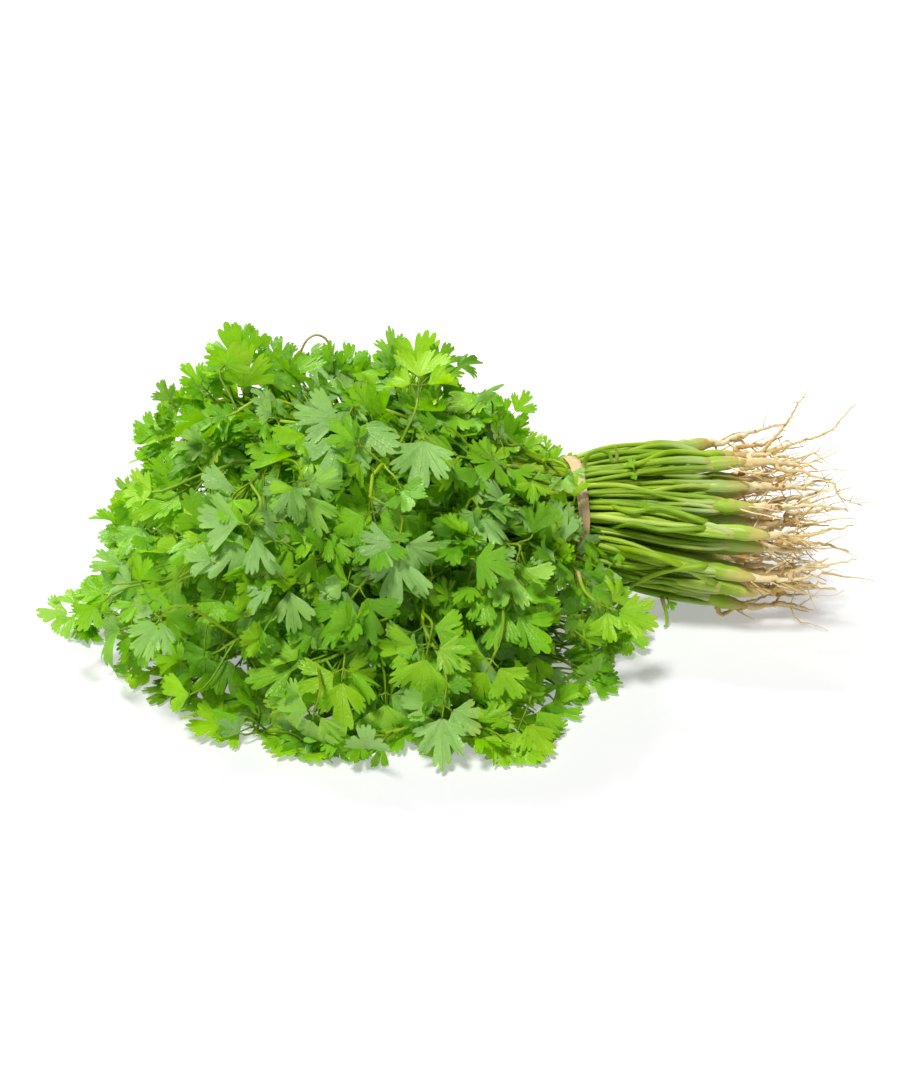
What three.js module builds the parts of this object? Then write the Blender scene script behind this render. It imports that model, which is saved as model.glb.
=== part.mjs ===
// A tied bunch of whole coriander plants lying on its side.
// Millimetres, +Z up, the surface it lies on is z = 0. The roots point to +X,
// the leafy head to -X, and the front of the bunch is -Y.
//
// Every plant is one closed solid, because it grew as one piece: a tapering
// taproot with side roots, a crown, and leaf stalks that run through the tie
// and end in a lobed leaf blade. A flat strip holds the stalks together.

import * as THREE from 'three';

const V = (x, y, z) => new THREE.Vector3(x, y, z);

// ---------------------------------------------------------------- dimensions
const PLANTS = 36;              // whole plants in the bunch
const STALKS = 4;               // leaf stalks on each plant
const SEED = 31;                // seed of the layout

const TIE = { x: 46, y: 0, z: 42, inner: 26.5, outer: 27.4, width: 4.8, sides: 40 };
const WAIST_R = 21.6;           // plant centres at the tie lie inside this radius
const STALK_GAP = 2.6;          // spacing of one plant's stalks at the tie

const CROWN = { x: 103, y: -6, z: 36.5, ry: 42, rz: 32.5, r: 3.5, cap: 3.55, jitter: 7 };
const CAP_OFFSET = 1.86;        // stalks leave the crown this far from its axis
const STALK_R = { crown: 1.08, mid: 1.0, tie: 0.95, head: 0.9 };

const BLADE_T = 0.7;            // thickness of a leaf blade
const BLADE_BASE = 0.8;         // half width of the blade where the stalk joins
const BLADE_L = [31, 41];       // shortest and longest blade

const ROOT = { len: [24, 52], neck: 2.0, mid: 1.15, tip: 0.5, sideLen: [13, 30], sideR: 0.55 };

const GAP = 0.35;               // clear space kept between neighbours

// The head of leaves: height and half widths of its section along x.
// A section is half of a superellipse that stands on the surface.
const HEAD = {
  x:     [-158, -150, -142, -132, -122, -108, -92, -60, -30, -3, 15, 30, 46, 62, 74],
  high:  [6, 22, 44, 68, 86, 98, 104, 106, 102, 93, 80, 68, 56, 34, 10],
  front: [8, 26, 42, 52, 60, 72, 86, 99, 102, 105, 103, 92, 80, 58, 30],
  back:  [8, 24, 36, 46, 56, 66, 76, 86, 88, 86, 80, 72, 62, 46, 24],
  y: -4, power: 2.2,
};

// --------------------------------------------------------------- small tools
function makeRandom(seed) {
  let s = seed >>> 0;
  return () => {
    s = (s + 0x6d2b79f5) >>> 0;
    let t = s;
    t = Math.imul(t ^ (t >>> 15), t | 1);
    t ^= t + Math.imul(t ^ (t >>> 7), t | 61);
    return ((t ^ (t >>> 14)) >>> 0) / 4294967296;
  };
}
const random = makeRandom(SEED);
const between = (a, b) => a + (b - a) * random();
const spread = (a) => (random() * 2 - 1) * a;
const bell = (a) => (random() + random() + random() - 1.5) * a;   // about +-1.5 a

function table(xs, ys, x) {
  if (x <= xs[0]) return ys[0];
  for (let i = 1; i < xs.length; i++) {
    if (x <= xs[i]) return ys[i - 1] + (ys[i] - ys[i - 1]) * (x - xs[i - 1]) / (xs[i] - xs[i - 1]);
  }
  return ys[ys.length - 1];
}

function perpendicular(v, axis) {          // the part of v at right angles to axis
  return v.clone().addScaledVector(axis, -v.dot(axis)).normalize();
}

// ------------------------------------------------------------ the head shape
const high = (x) => table(HEAD.x, HEAD.high, x);
const halfWidth = (x, y) => table(HEAD.x, y < HEAD.y ? HEAD.front : HEAD.back, x);
const level = (p) => {
  const y = Math.abs(p.y - HEAD.y) / halfWidth(p.x, p.y);
  const z = Math.abs(p.z) / high(p.x);
  return (y ** HEAD.power + z ** HEAD.power) ** (1 / HEAD.power);
};
const core = (x) => V(x, HEAD.y + 0.22 * (halfWidth(x, 1e3) - halfWidth(x, -1e3)), 0.3 * high(x));

// Distance from the core of the section at x to its outline, in a direction.
function reach(x, dir) {
  const c = core(x);
  let lo = 0, hi = 200;
  for (let i = 0; i < 24; i++) {
    const m = (lo + hi) / 2;
    const p = V(x, c.y + dir.y * m, c.z + dir.z * m);
    if (p.z < 0 || level(p) > 1) hi = m; else lo = m;
  }
  return lo;
}

function outward(p) {                       // outward direction of the head at p
  const e = 0.5;
  const g = V(
    level(V(p.x + e, p.y, p.z)) - level(V(p.x - e, p.y, p.z)),
    level(V(p.x, p.y + e, p.z)) - level(V(p.x, p.y - e, p.z)),
    level(V(p.x, p.y, p.z + e)) - level(V(p.x, p.y, p.z - e)),
  );
  g.x = Math.max(-g.z - Math.abs(g.y) * 1.4 - 0.004, Math.min(0.7 * (Math.abs(g.y) + Math.abs(g.z)), g.x));
  return g.normalize();
}

// Share of the head's skin that lies to the right of x, from 0 to 1.
const SKIN = (() => {
  const xs = [], cum = [];
  let total = 0;
  for (let x = 70; x >= -158; x -= 4) {
    const h = high(x), f = halfWidth(x, -1e3), b = halfWidth(x, 1e3);
    total += Math.PI / 2 * Math.sqrt((h * h + f * f) / 2) + Math.PI / 2 * Math.sqrt((h * h + b * b) / 2);
    xs.push(x); cum.push(total);
  }
  return { xs, cum: cum.map((c) => c / total) };
})();
const skinX = (share) => table(SKIN.cum, SKIN.xs, share);
const skinShare = (x) => table([...SKIN.xs].reverse(), [...SKIN.cum].reverse(), x);

// A place in the waist (radius 0..1, angle from straight down 0..pi, side) and
// the place in the head that its stalk goes to belong together, so that the
// stalks fan out without crossing.
const FAN = 0.66;
const fanOut = (down) => Math.PI * (down / Math.PI) ** FAN;
const fanIn = (down) => Math.PI * (down / Math.PI) ** (1 / FAN);

// -------------------------------------------------------------- leaf outline
// Right half of a three-part leaf, in leaf lengths, from the stalk to the tip.
const LEAF_HALF = [[0.40, 0.10], [0.53, 0.44], [0.17, 0.47], [0.30, 0.80]];

function outline(L) {
  const pts = [[BLADE_BASE, 0]];
  for (const [s, t] of LEAF_HALF) pts.push([s * L, t * L]);
  pts.push([0, L]);
  for (const [s, t] of [...LEAF_HALF].reverse()) pts.push([-s * L, t * L]);
  pts.push([-BLADE_BASE, 0]);
  return pts;
}

function insideOutline(pts, s, t) {
  let hit = false;
  for (let i = 0, j = pts.length - 1; i < pts.length; j = i++) {
    const [a, b] = pts[i], [c, d] = pts[j];
    if ((b > t) !== (d > t) && s < (c - a) * (t - b) / (d - b) + a) hit = !hit;
  }
  return hit;
}

function edgeDistance(pts, s, t) {
  let best = 1e9;
  for (let i = 0, j = pts.length - 1; i < pts.length; j = i++) {
    const [a, b] = pts[j], [c, d] = pts[i];
    const u = Math.max(0, Math.min(1, ((s - a) * (c - a) + (t - b) * (d - b)) / ((c - a) ** 2 + (d - b) ** 2)));
    best = Math.min(best, Math.hypot(s - a - u * (c - a), t - b - u * (d - b)));
  }
  return best;
}

// A leaf blade: base point, long axis, side axis, face normal and length.
function makeBlade(base, axis, normal, L) {
  const a = axis.clone().normalize();
  const n = perpendicular(normal, a);
  const b = a.clone().cross(n);
  const pts = outline(L);
  const at = (s, t, h) => base.clone().addScaledVector(b, s).addScaledVector(a, t).addScaledVector(n, h);
  const probes = [];
  const step = 2.2;
  for (let t = 0.1 * L; t < L; t += step) {
    for (let s = -0.55 * L; s < 0.55 * L; s += step) if (insideOutline(pts, s, t)) probes.push(at(s, t, 0));
  }
  for (let i = 0; i + 1 < pts.length; i++) {
    const [a0, b0] = pts[i], [a1, b1] = pts[i + 1];
    const k = Math.ceil(Math.hypot(a1 - a0, b1 - b0) / step);
    for (let q = 0; q < k; q++) probes.push(at(a0 + (a1 - a0) * q / k, b0 + (b1 - b0) * q / k, 0));
  }
  probes.push(at(0, L, 0));
  return { base: base.clone(), a, b, n, L, pts, at, probes, mid: at(0, 0.5 * L, 0), size: 0.68 * L };
}

// ----------------------------------------------------- keeping pieces apart
const blades = [];
const tubes = [];                            // { pts, rad, id, ball }

function nearBlade(p, blade, room) {
  const o = blade.base, N = blade.n, x = p.x - o.x, y = p.y - o.y, z = p.z - o.z;
  if (Math.abs(x * N.x + y * N.y + z * N.z) > BLADE_T / 2 + room) return false;
  const t = x * blade.a.x + y * blade.a.y + z * blade.a.z;
  if (t < -room || t > blade.L + room) return false;
  const s = x * blade.b.x + y * blade.b.y + z * blade.b.z;
  if (Math.abs(s) > 0.55 * blade.L + room) return false;
  return insideOutline(blade.pts, s, t) || edgeDistance(blade.pts, s, t) < room;
}

function bladesClash(A, B) {
  if (A.mid.distanceTo(B.mid) > A.size + B.size + 2) return false;
  const room = 0.95;
  for (const p of A.probes) if (nearBlade(p, B, room)) return true;
  for (const p of B.probes) if (nearBlade(p, A, room)) return true;
  return false;
}

function tubeBladeClash(tube, blade, own) {
  const end = tube.pts.length - 1;
  for (let i = 0; i < end; i++) {
    const p = tube.pts[i], q = tube.pts[i + 1], len = p.distanceTo(q);
    const line = p.clone().add(q).multiplyScalar(0.5);
    if (line.distanceTo(blade.mid) > len / 2 + blade.size + 3) continue;
    const k = Math.max(1, Math.ceil(len / 1.5));
    for (let j = 0; j <= k; j++) {
      if (own && i === end - 1 && j / k * len > len - 4) continue;
      const r = tube.rad[i] + (tube.rad[i + 1] - tube.rad[i]) * j / k;
      if (nearBlade(p.clone().lerp(q, j / k), blade, r + GAP)) return true;
    }
  }
  return false;
}

function segmentDistance(p1, q1, p2, q2) {
  const ux = q1.x - p1.x, uy = q1.y - p1.y, uz = q1.z - p1.z;
  const vx = q2.x - p2.x, vy = q2.y - p2.y, vz = q2.z - p2.z;
  const rx = p1.x - p2.x, ry = p1.y - p2.y, rz = p1.z - p2.z;
  const a = ux * ux + uy * uy + uz * uz, e = vx * vx + vy * vy + vz * vz;
  const f = vx * rx + vy * ry + vz * rz, c = ux * rx + uy * ry + uz * rz, b = ux * vx + uy * vy + uz * vz;
  const den = a * e - b * b;
  let s = den > 1e-9 ? Math.max(0, Math.min(1, (b * f - c * e) / den)) : 0.5;
  let t = (b * s + f) / e;
  if (t < 0) { t = 0; s = Math.max(0, Math.min(1, -c / a)); }
  else if (t > 1) { t = 1; s = Math.max(0, Math.min(1, (b - c) / a)); }
  return Math.hypot(rx + ux * s - vx * t, ry + uy * s - vy * t, rz + uz * s - vz * t);
}

// skip: how many leading segments of two tubes of one plant are left untested,
// because both start on the same crown.
function tubesClash(A, B, skip = 0) {
  for (let i = 0; i + 1 < A.pts.length; i++) {
    for (let j = 0; j + 1 < B.pts.length; j++) {
      if (i < skip && j < skip) continue;
      const ra = Math.max(A.rad[i], A.rad[i + 1]), rb = Math.max(B.rad[j], B.rad[j + 1]);
      const lo = Math.max(Math.min(A.pts[i].x, A.pts[i + 1].x), Math.min(B.pts[j].x, B.pts[j + 1].x));
      const hi = Math.min(Math.max(A.pts[i].x, A.pts[i + 1].x), Math.max(B.pts[j].x, B.pts[j + 1].x));
      if (lo > hi + 4) continue;
      if (segmentDistance(A.pts[i], A.pts[i + 1], B.pts[j], B.pts[j + 1]) < ra + rb + GAP) return true;
    }
  }
  return false;
}

// ------------------------------------------------------ plants in the bundle
const plants = [];
for (let i = 0; i < PLANTS; i++) {
  const u = Math.sqrt((i + 0.5) / PLANTS);
  const angle = i * 2.39996323 + 0.4;
  const waist = V(TIE.x, TIE.y + WAIST_R * u * Math.cos(angle), TIE.z + WAIST_R * u * Math.sin(angle));
  const crown = V(CROWN.x + bell(CROWN.jitter * 0.7),
    CROWN.y + CROWN.ry * u * Math.cos(angle) + spread(0.5),
    Math.max(CROWN.cap + 0.35, CROWN.z + CROWN.rz * u * Math.sin(angle) + spread(0.5)));
  const dir = waist.clone().sub(crown).normalize();
  plants.push({ id: i, u, angle, waist, crown, dir, turn: random() * Math.PI / 2, stalks: [] });
}

// Stalk places: four corners of a small square round each plant's centre.
const slots = [];
for (const plant of plants) {
  const up = perpendicular(V(0, 0, 1), plant.dir);
  const side = plant.dir.clone().cross(up);
  plant.up = up; plant.side = side;
  for (let k = 0; k < STALKS; k++) {
    const w = plant.turn + k * Math.PI / 2;
    const start = plant.crown.clone()
      .addScaledVector(up, CAP_OFFSET * Math.cos(w)).addScaledVector(side, CAP_OFFSET * Math.sin(w));
    const o = STALK_GAP / Math.SQRT2;
    const tie = plant.waist.clone().addScaledVector(up, o * Math.cos(w)).addScaledVector(side, o * Math.sin(w));
    tie.x = TIE.x;
    const dy = tie.y - TIE.y, dz = tie.z - TIE.z;
    const u = Math.min(1, Math.hypot(dy, dz) / (WAIST_R + 1));
    slots.push({
      plant, k, start, tie, u, inner: k === plant.id % 4 && plant.id % 5 !== 0,
      down: Math.acos(Math.max(-1, Math.min(1, -dz / Math.hypot(dy, dz)))),
      side: dy < 0 ? -1 : 1, taken: false,
    });
  }
}

// Stalk from the crown through the tie to the base of a blade. The stretch
// after the tie is a cubic curve from p0 to p3.
function makeStalk(slot, blade, slack = 0) {
  const p0 = slot.tie.clone().add(V(-3, 0, 0));
  const p3 = blade.base.clone();
  const d = p3.distanceTo(p0);
  const out = V(-1, (slot.tie.y - TIE.y) * 0.022, (slot.tie.z - TIE.z) * 0.022).normalize();
  const h0 = Math.min(0.42 * d, 62) * (1 + spread(slack)), h3 = Math.min(0.34 * d, 38) * (1 + spread(slack));
  const p1 = p0.clone().addScaledVector(out, h0);
  const p2 = p3.clone().addScaledVector(blade.a.clone().multiplyScalar(0.8).add(p3.clone().sub(p0).normalize().multiplyScalar(0.2)).normalize(), -h3);
  p2.z = Math.max(p2.z, 2.2);
  const curve = new THREE.CubicBezierCurve3(p0, p1, p2, p3);
  const n = d > 110 ? 4 : 3;
  const mid = slot.start.clone().lerp(slot.tie, 0.5);
  const away = mid.clone().sub(V(mid.x, (CROWN.y + TIE.y) / 2, (CROWN.z + TIE.z) / 2)).normalize();
  mid.addScaledVector(away, slot.plant.u * 1.6);
  const pts = [slot.start, mid, slot.tie.clone()];
  const rad = [STALK_R.crown, STALK_R.mid, STALK_R.tie];
  for (let i = 1; i <= n; i++) { pts.push(curve.getPoint(i / n)); rad.push(STALK_R.head); }
  return { pts, rad, plant: slot.plant.id, curve: [p0, p1, p2, p3] };
}

function fits(slot, blade, tube) {
  for (const p of blade.probes) {
    if (!blade.flat && p.z < BLADE_T / 2 + 0.45) return false;
    if (p.x > TIE.x - 4.5) {                 // keep blades off the tie and the stalks
      const r = Math.hypot(p.y - TIE.y, p.z - TIE.z);
      if (r < 32 + (p.x - TIE.x) * 0.28) return false;
    }
  }
  for (let i = 3; i < tube.pts.length - 1; i++) if (tube.pts[i].z < 1.4) return false;
  for (let i = 1; i + 1 < tube.pts.length; i++) {          // stay inside the tie
    const p = tube.pts[i], q = tube.pts[i + 1];
    for (const x of [TIE.x - TIE.width / 2 - 0.3, TIE.x + TIE.width / 2 + 0.3]) {
      if ((p.x - x) * (q.x - x) > 0) continue;
      const m = p.clone().lerp(q, (p.x - x) / (p.x - q.x));
      if (Math.hypot(m.y - TIE.y, m.z - TIE.z) + STALK_R.mid + 0.3 > TIE.inner) return false;
    }
  }
  for (const other of blades) if (bladesClash(blade, other)) return false;
  for (const other of tubes) {
    if (tubeBladeClash(other, blade, false)) return false;
    if (tubesClash(tube, other, other.plant === tube.plant ? 1 : 0)) return false;
  }
  for (const other of blades) if (tubeBladeClash(tube, other, false)) return false;
  if (tubeBladeClash(tube, blade, true)) return false;
  // No sharp kinks.
  for (let i = 1; i + 1 < tube.pts.length; i++) {
    const a = tube.pts[i].clone().sub(tube.pts[i - 1]).normalize();
    const b = tube.pts[i + 1].clone().sub(tube.pts[i]).normalize();
    if (a.dot(b) < 0.1) return false;
  }
  return true;
}

function keep(slot, blade, tube) {
  slot.taken = true;
  blade.plant = slot.plant.id;
  slot.plant.stalks.push({ blade, tube, slot });
  blades.push(blade);
  tubes.push(tube);
}

// ------------------------------------------------------------ marked leaves
// Leaves with a place of their own: middle of the blade, direction of its tip,
// direction its face looks in, and length.
const FACE = V(-0.17, -0.87, 0.45);          // faces turned to the front of the bunch
const MARKED = [
  // on top, upright
  [V(-86, 26, 112), V(-0.25, -0.1, 1), V(-0.1, -0.95, 0.3), 40],
  [V(-14, 28, 104), V(0.3, 0.0, 1), V(-0.05, -0.98, 0.25), 40],
  [V(26, 22, 78), V(0.75, 0.1, 0.7), V(-0.15, -0.8, 0.6), 33],
  [V(-122, 22, 92), V(-0.8, 0, 0.6), V(-0.3, -0.7, 0.6), 36],
  [V(-52, 30, 109), V(-0.15, 0.5, 0.85), V(0, -0.8, 0.55), 34],
  [V(-140, 18, 60), V(-0.75, 0.1, 0.5), V(-0.5, -0.6, 0.6), 34],
  // flat on the surface
  [V(-146, 26, 0.35), V(-1, 0.05, 0), V(0, 0, 1), 36],
  [V(-78, -94, 0.35), V(0.15, -1, 0), V(0, 0, 1), 40],
  [V(-2, -104, 0.35), V(0.25, -1, 0), V(0, 0, 1), 40],
  [V(-124, -42, 0.35), V(-0.7, -0.7, 0), V(0, 0, 1), 36],
  [V(48, -66, 0.35), V(0.75, -0.6, 0), V(0, 0, 1), 34],
  [V(-104, 56, 0.35), V(-0.6, 0.8, 0), V(0, 0, 1), 38],
  [V(-36, 74, 0.35), V(-0.2, 1, 0), V(0, 0, 1), 40],
  [V(26, 62, 0.35), V(0.4, 0.9, 0), V(0, 0, 1), 36],
  // front face
  [V(-100, -58, 74), V(-0.4, -0.45, -0.75), FACE, 43],
  [V(-46, -76, 72), V(0.1, -0.55, -0.85), FACE, 43],
  [V(-24, -50, 92), V(0.2, -0.6, 0.45), V(-0.1, -0.6, 0.8), 38],
  [V(-120, -30, 78), V(-0.8, -0.3, -0.35), V(-0.5, -0.6, 0.6), 38],
  [V(-30, -98, 30), V(0.1, -0.6, -0.75), FACE, 40],
  [V(46, -62, 34), V(0.65, -0.5, -0.6), V(0.2, -0.8, 0.6), 33],
  [V(8, -92, 40), V(0.4, -0.5, -0.75), V(0.1, -0.85, 0.5), 38],
];

function slotFor(p) {
  const c = core(p.x);
  const rel = V(0, p.y - c.y, p.z - c.z);
  const down = fanIn(Math.acos(Math.max(-1, Math.min(1, -rel.z / rel.length()))));
  const side = rel.y < 0 ? -1 : 1;
  const u = Math.sqrt(Math.max(0.02, 1 - skinShare(p.x)));
  return V(0, side * u * Math.sin(down), -u * Math.cos(down));
}

function slotSpot(s) {
  return V(0, (s.tie.y - TIE.y) / (WAIST_R + 1), (s.tie.z - TIE.z) / (WAIST_R + 1));
}

for (const [mid, tip, face, L] of MARKED) {
  const want = slotFor(mid);
  const order = slots.filter((s) => !s.taken).sort((a, b) => slotSpot(a).distanceTo(want) - slotSpot(b).distanceTo(want));
  const flat = mid.z < 1;
  let done = false;
  for (let tries = 0; tries < 260 && !done; tries++) {
    const slot = order[Math.floor(tries / 26)];
    const loose = (tries % 26) / 26;
    const a = tip.clone().normalize().add(V(spread(0.25), spread(0.25), flat ? 0 : spread(0.25)).multiplyScalar(loose)).normalize();
    const n = flat ? V(0, 0, 1) : face.clone().normalize().add(V(spread(0.3), spread(0.3), spread(0.3)).multiplyScalar(loose));
    const m = mid.clone().add(V(spread(7), spread(7), flat ? 0 : spread(5)).multiplyScalar(loose));
    const base = m.addScaledVector(a, -0.5 * L);
    const blade = makeBlade(base, a, n, L);
    blade.flat = flat;
    const tube = makeStalk(slot, blade);
    if (flat) tube.curve[3].z = blade.base.z;
    if (fits(slot, blade, tube)) { keep(slot, blade, tube); done = true; }
  }
}

// ------------------------------------------------------------ all the others
function candidate(slot, inner, wide, small) {
  const uu = slot.u;
  let x = skinX(Math.max(0, Math.min(1, 1 - uu * uu))) + bell(16 + wide * 26);
  if (inner) x += small ? between(0, 70) : between(18, 55);
  x = Math.max(-156, Math.min(inner ? 20 : 58, x));
  const down = Math.max(0, Math.min(Math.PI, fanOut(slot.down) + bell(0.16 + wide * 0.3)));
  const dir = V(0, slot.side * Math.sin(down), -Math.cos(down));
  const c = core(x);
  const deep = small ? between(0.2, 1.02) : inner ? between(0.4, 0.8) : between(0.86 - 0.3 * wide, 1.01);
  const m = c.clone().addScaledVector(dir, reach(x, dir) * deep);
  const N = outward(V(m.x, m.y, Math.max(4, m.z)));
  const flow = perpendicular(m.clone().sub(V(TIE.x + 6, TIE.y, TIE.z)).add(V(0, 0, -12)), N);
  const cross = N.clone().cross(flow);
  const L = between(BLADE_L[0], BLADE_L[1]) * (small ? 0.72 : inner ? 0.88 : 1) * (1 - 0.22 * wide);
  const lean = between(0.05, 0.42);
  const a = flow.clone().addScaledVector(cross, bell(0.5)).normalize().addScaledVector(N, lean)
    .add(V(0, 0, spread(0.25))).normalize();
  const n = N.clone().addScaledVector(cross, bell(0.32)).add(V(0, 0, 0.2)).addScaledVector(a, -lean);
  if (m.z < 9) {
    m.z = between(1.6, 9);
    a.z = Math.abs(m.z) * 0.012; a.normalize();
    n.set(spread(0.1), spread(0.1), 1);
  }
  const base = m.clone().addScaledVector(a, -0.48 * L);
  return makeBlade(base, a, n, L);
}

function fill(list, inner, small = false) {
  for (const slot of list) {
    let best = null, bestRoom = -1, found = 0;
    for (let tries = 0; tries < 600 && found < 8; tries++) {
      const blade = candidate(slot, inner, tries / 600, small);
      const tube = makeStalk(slot, blade, 0.45);
      if (!fits(slot, blade, tube)) continue;
      found++;
      let room = 1e9;
      for (const o of blades) room = Math.min(room, o.mid.distanceTo(blade.mid));
      if (room > bestRoom) { bestRoom = room; best = { blade, tube }; }
    }
    if (best) keep(slot, best.blade, best.tube);
  }
}

const free = slots.filter((s) => !s.taken);
fill(free.filter((s) => !s.inner).sort((a, b) => b.u - a.u), false);
fill(free.filter((s) => s.inner).sort((a, b) => b.u - a.u), true);
fill(slots.filter((s) => !s.taken).sort((a, b) => a.plant.stalks.length - b.plant.stalks.length), true, true);

// --------------------------------------------------------------------- roots
const rootTubes = [];
for (const plant of plants) {
  const e0 = plant.dir.clone().negate();
  const neckEnd = plant.crown.clone().addScaledVector(e0, 6.5);
  let made = null;
  for (let tries = 0; tries < 400 && !made; tries++) {
    const len = between(ROOT.len[0], ROOT.len[1]) * (1 - tries / 900);
    const pull = V(0.9, 0, 0).addScaledVector(e0, 0.45).add(V(0, bell(0.16), bell(0.14) - 0.03)).normalize();
    const p1 = neckEnd.clone().addScaledVector(e0, len * 0.1).addScaledVector(pull, len * 0.22);
    const p2 = p1.clone().addScaledVector(pull, len * 0.3).add(V(0, spread(len * 0.05), spread(len * 0.05)));
    const p3 = p2.clone().addScaledVector(pull, len * 0.38).add(V(0, spread(len * 0.16), spread(len * 0.16)));
    const pts = [neckEnd.clone(), p1, p2, p3];
    if (pts.some((p, i) => p.z < 0.9 + (i === 0 ? 1.2 : 0))) continue;
    if (p3.x > 146) continue;
    const tube = { pts, rad: [ROOT.neck, ROOT.mid * 1.1, ROOT.mid * 0.8, ROOT.tip], plant: plant.id };
    if (rootTubes.some((o) => tubesClash(tube, o))) continue;
    made = tube;
  }
  if (made) { rootTubes.push(made); plant.root = made; }
}
// Side roots leave one face of the taproot each.
const FINE = new Map([[3, 1], [9, 1], [14, 1], [22, 1], [27, 1], [31, 1]]);   // plants with a long wiry root
for (const plant of plants) {
  plant.sides = [];
  if (!plant.root) continue;
  for (const [ring, face] of [[0, plant.id % 4], [1, (plant.id + 2) % 4]]) {
    let made = null;
    for (let tries = 0; tries < 300 && !made; tries++) {
      const long = ring === 1 && FINE.has(plant.id);
      const len = long ? between(26, 36) : between(ROOT.sideLen[0], ROOT.sideLen[1]) * (1 - tries / 600);
      made = { ring, face, len, long, bend: V(1, bell(0.3), bell(0.26)).normalize(), curl: V(0, spread(0.2), spread(0.24)) };
      const spot = sideStart(plant, ring, face);
      const dir = spot.out.clone().multiplyScalar(0.75).add(V(0.8, 0, 0)).normalize();
      const q1 = spot.mid.clone().addScaledVector(dir, 2.6);
      const q2 = q1.clone().addScaledVector(made.bend, len * 0.5);
      const q3 = q2.clone().addScaledVector(made.bend.clone().add(made.curl).normalize(), len * 0.5);
      const tube = { pts: [q1, q2, q3], rad: [ROOT.sideR, ROOT.sideR * 0.85, ROOT.sideR * 0.6], plant: plant.id };
      const full = { pts: [spot.mid.clone().addScaledVector(spot.out, 0.5), q1, q2, q3], rad: [ROOT.sideR, ROOT.sideR, ROOT.sideR * 0.85, ROOT.sideR * 0.6], plant: plant.id };
      const bad = [q1, q2, q3].some((p) => p.z < 0.7) || q3.x > 168
        || rootTubes.some((o) => tubesClash(o.plant === plant.id ? tube : full, o, 0))
        || plants.some((o) => o !== plant && tubesClash(full, { pts: [o.crown, o.crown.clone().addScaledVector(o.dir, -6.5)], rad: [CROWN.cap + 0.3, CROWN.cap + 0.3] }))
        || tubesClash(tube, { pts: [plant.crown, plant.crown.clone().addScaledVector(plant.dir, -5)], rad: [CROWN.cap, CROWN.cap] });
      if (bad) { made = null; continue; }
      made.tube = tube; made.pts = [q1, q2, q3];
    }
    if (made) { rootTubes.push(made.tube); plant.sides.push(made); }
  }
}

// The taproot's four-sided rings; the same rings are used for the mesh.
function rootRings(plant) {
  const pts = plant.root.pts, rad = plant.root.rad, rings = [];
  let px = plant.up.clone();
  for (let i = 0; i < pts.length; i++) {
    const t = (i === 0 ? pts[1].clone().sub(pts[0]) : i === pts.length - 1 ? pts[i].clone().sub(pts[i - 1])
      : pts[i + 1].clone().sub(pts[i - 1])).normalize();
    px = perpendicular(px, t);
    const py = t.clone().negate().cross(px);            // px x py points back to the crown
    const ring = [];
    for (let k = 0; k < 4; k++) {
      const w = k * Math.PI / 2;
      ring.push(pts[i].clone().addScaledVector(px, rad[i] * Math.cos(w)).addScaledVector(py, rad[i] * Math.sin(w)));
    }
    rings.push(ring);
  }
  return rings;
}

function sideStart(plant, ring, face) {
  const rings = rootRings(plant);
  const a = rings[ring][face], b = rings[ring][(face + 1) % 4];
  const c = rings[ring + 1][face], d = rings[ring + 1][(face + 1) % 4];
  const mid = a.clone().add(b).add(c).add(d).multiplyScalar(0.25);
  const out = a.clone().sub(b).cross(c.clone().sub(a)).normalize();
  return { mid, out };
}

// ------------------------------------------------------------- mesh building
class Shell {
  constructor() { this.p = []; this.f = []; }
  add(v) { this.p.push(v.x, v.y, v.z); return this.p.length / 3 - 1; }
  tri(a, b, c) { this.f.push(a, b, c); }
  quad(a, b, c, d) { this.f.push(a, b, c, a, c, d); }
  vert(i) { return V(this.p[3 * i], this.p[3 * i + 1], this.p[3 * i + 2]); }
  geometry() {
    const g = new THREE.BufferGeometry();
    g.setAttribute('position', new THREE.Float32BufferAttribute(this.p, 3));
    g.setIndex(this.f);
    g.computeVertexNormals();
    return g;
  }
}

// Triangles of a flat outline with holes, turned to face +normal of (u, v).
function flatFaces(contour, holes) {
  const to2 = (l) => l.map(([x, y]) => new THREE.Vector2(x, y));
  const faces = THREE.ShapeUtils.triangulateShape(to2(contour), holes.map(to2));
  const all = [...contour, ...holes.flat()];
  return faces.map(([a, b, c]) => {
    const [ax, ay] = all[a], [bx, by] = all[b], [cx, cy] = all[c];
    return (bx - ax) * (cy - ay) - (by - ay) * (cx - ax) > 0 ? [a, b, c] : [a, c, b];
  });
}

function square(shell, at, X, Y, rx, ry) {     // ring of four, counter-clockwise about X x Y
  const out = [];
  for (const [a, b] of [[1, 1], [1, -1], [-1, -1], [-1, 1]]) out.push(shell.add(at.clone().addScaledVector(X, a * rx).addScaledVector(Y, b * ry)));
  return out;
}

function join(shell, r0, r1) {
  const n = r0.length;
  for (let i = 0; i < n; i++) shell.quad(r0[i], r0[(i + 1) % n], r1[(i + 1) % n], r1[i]);
}

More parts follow.
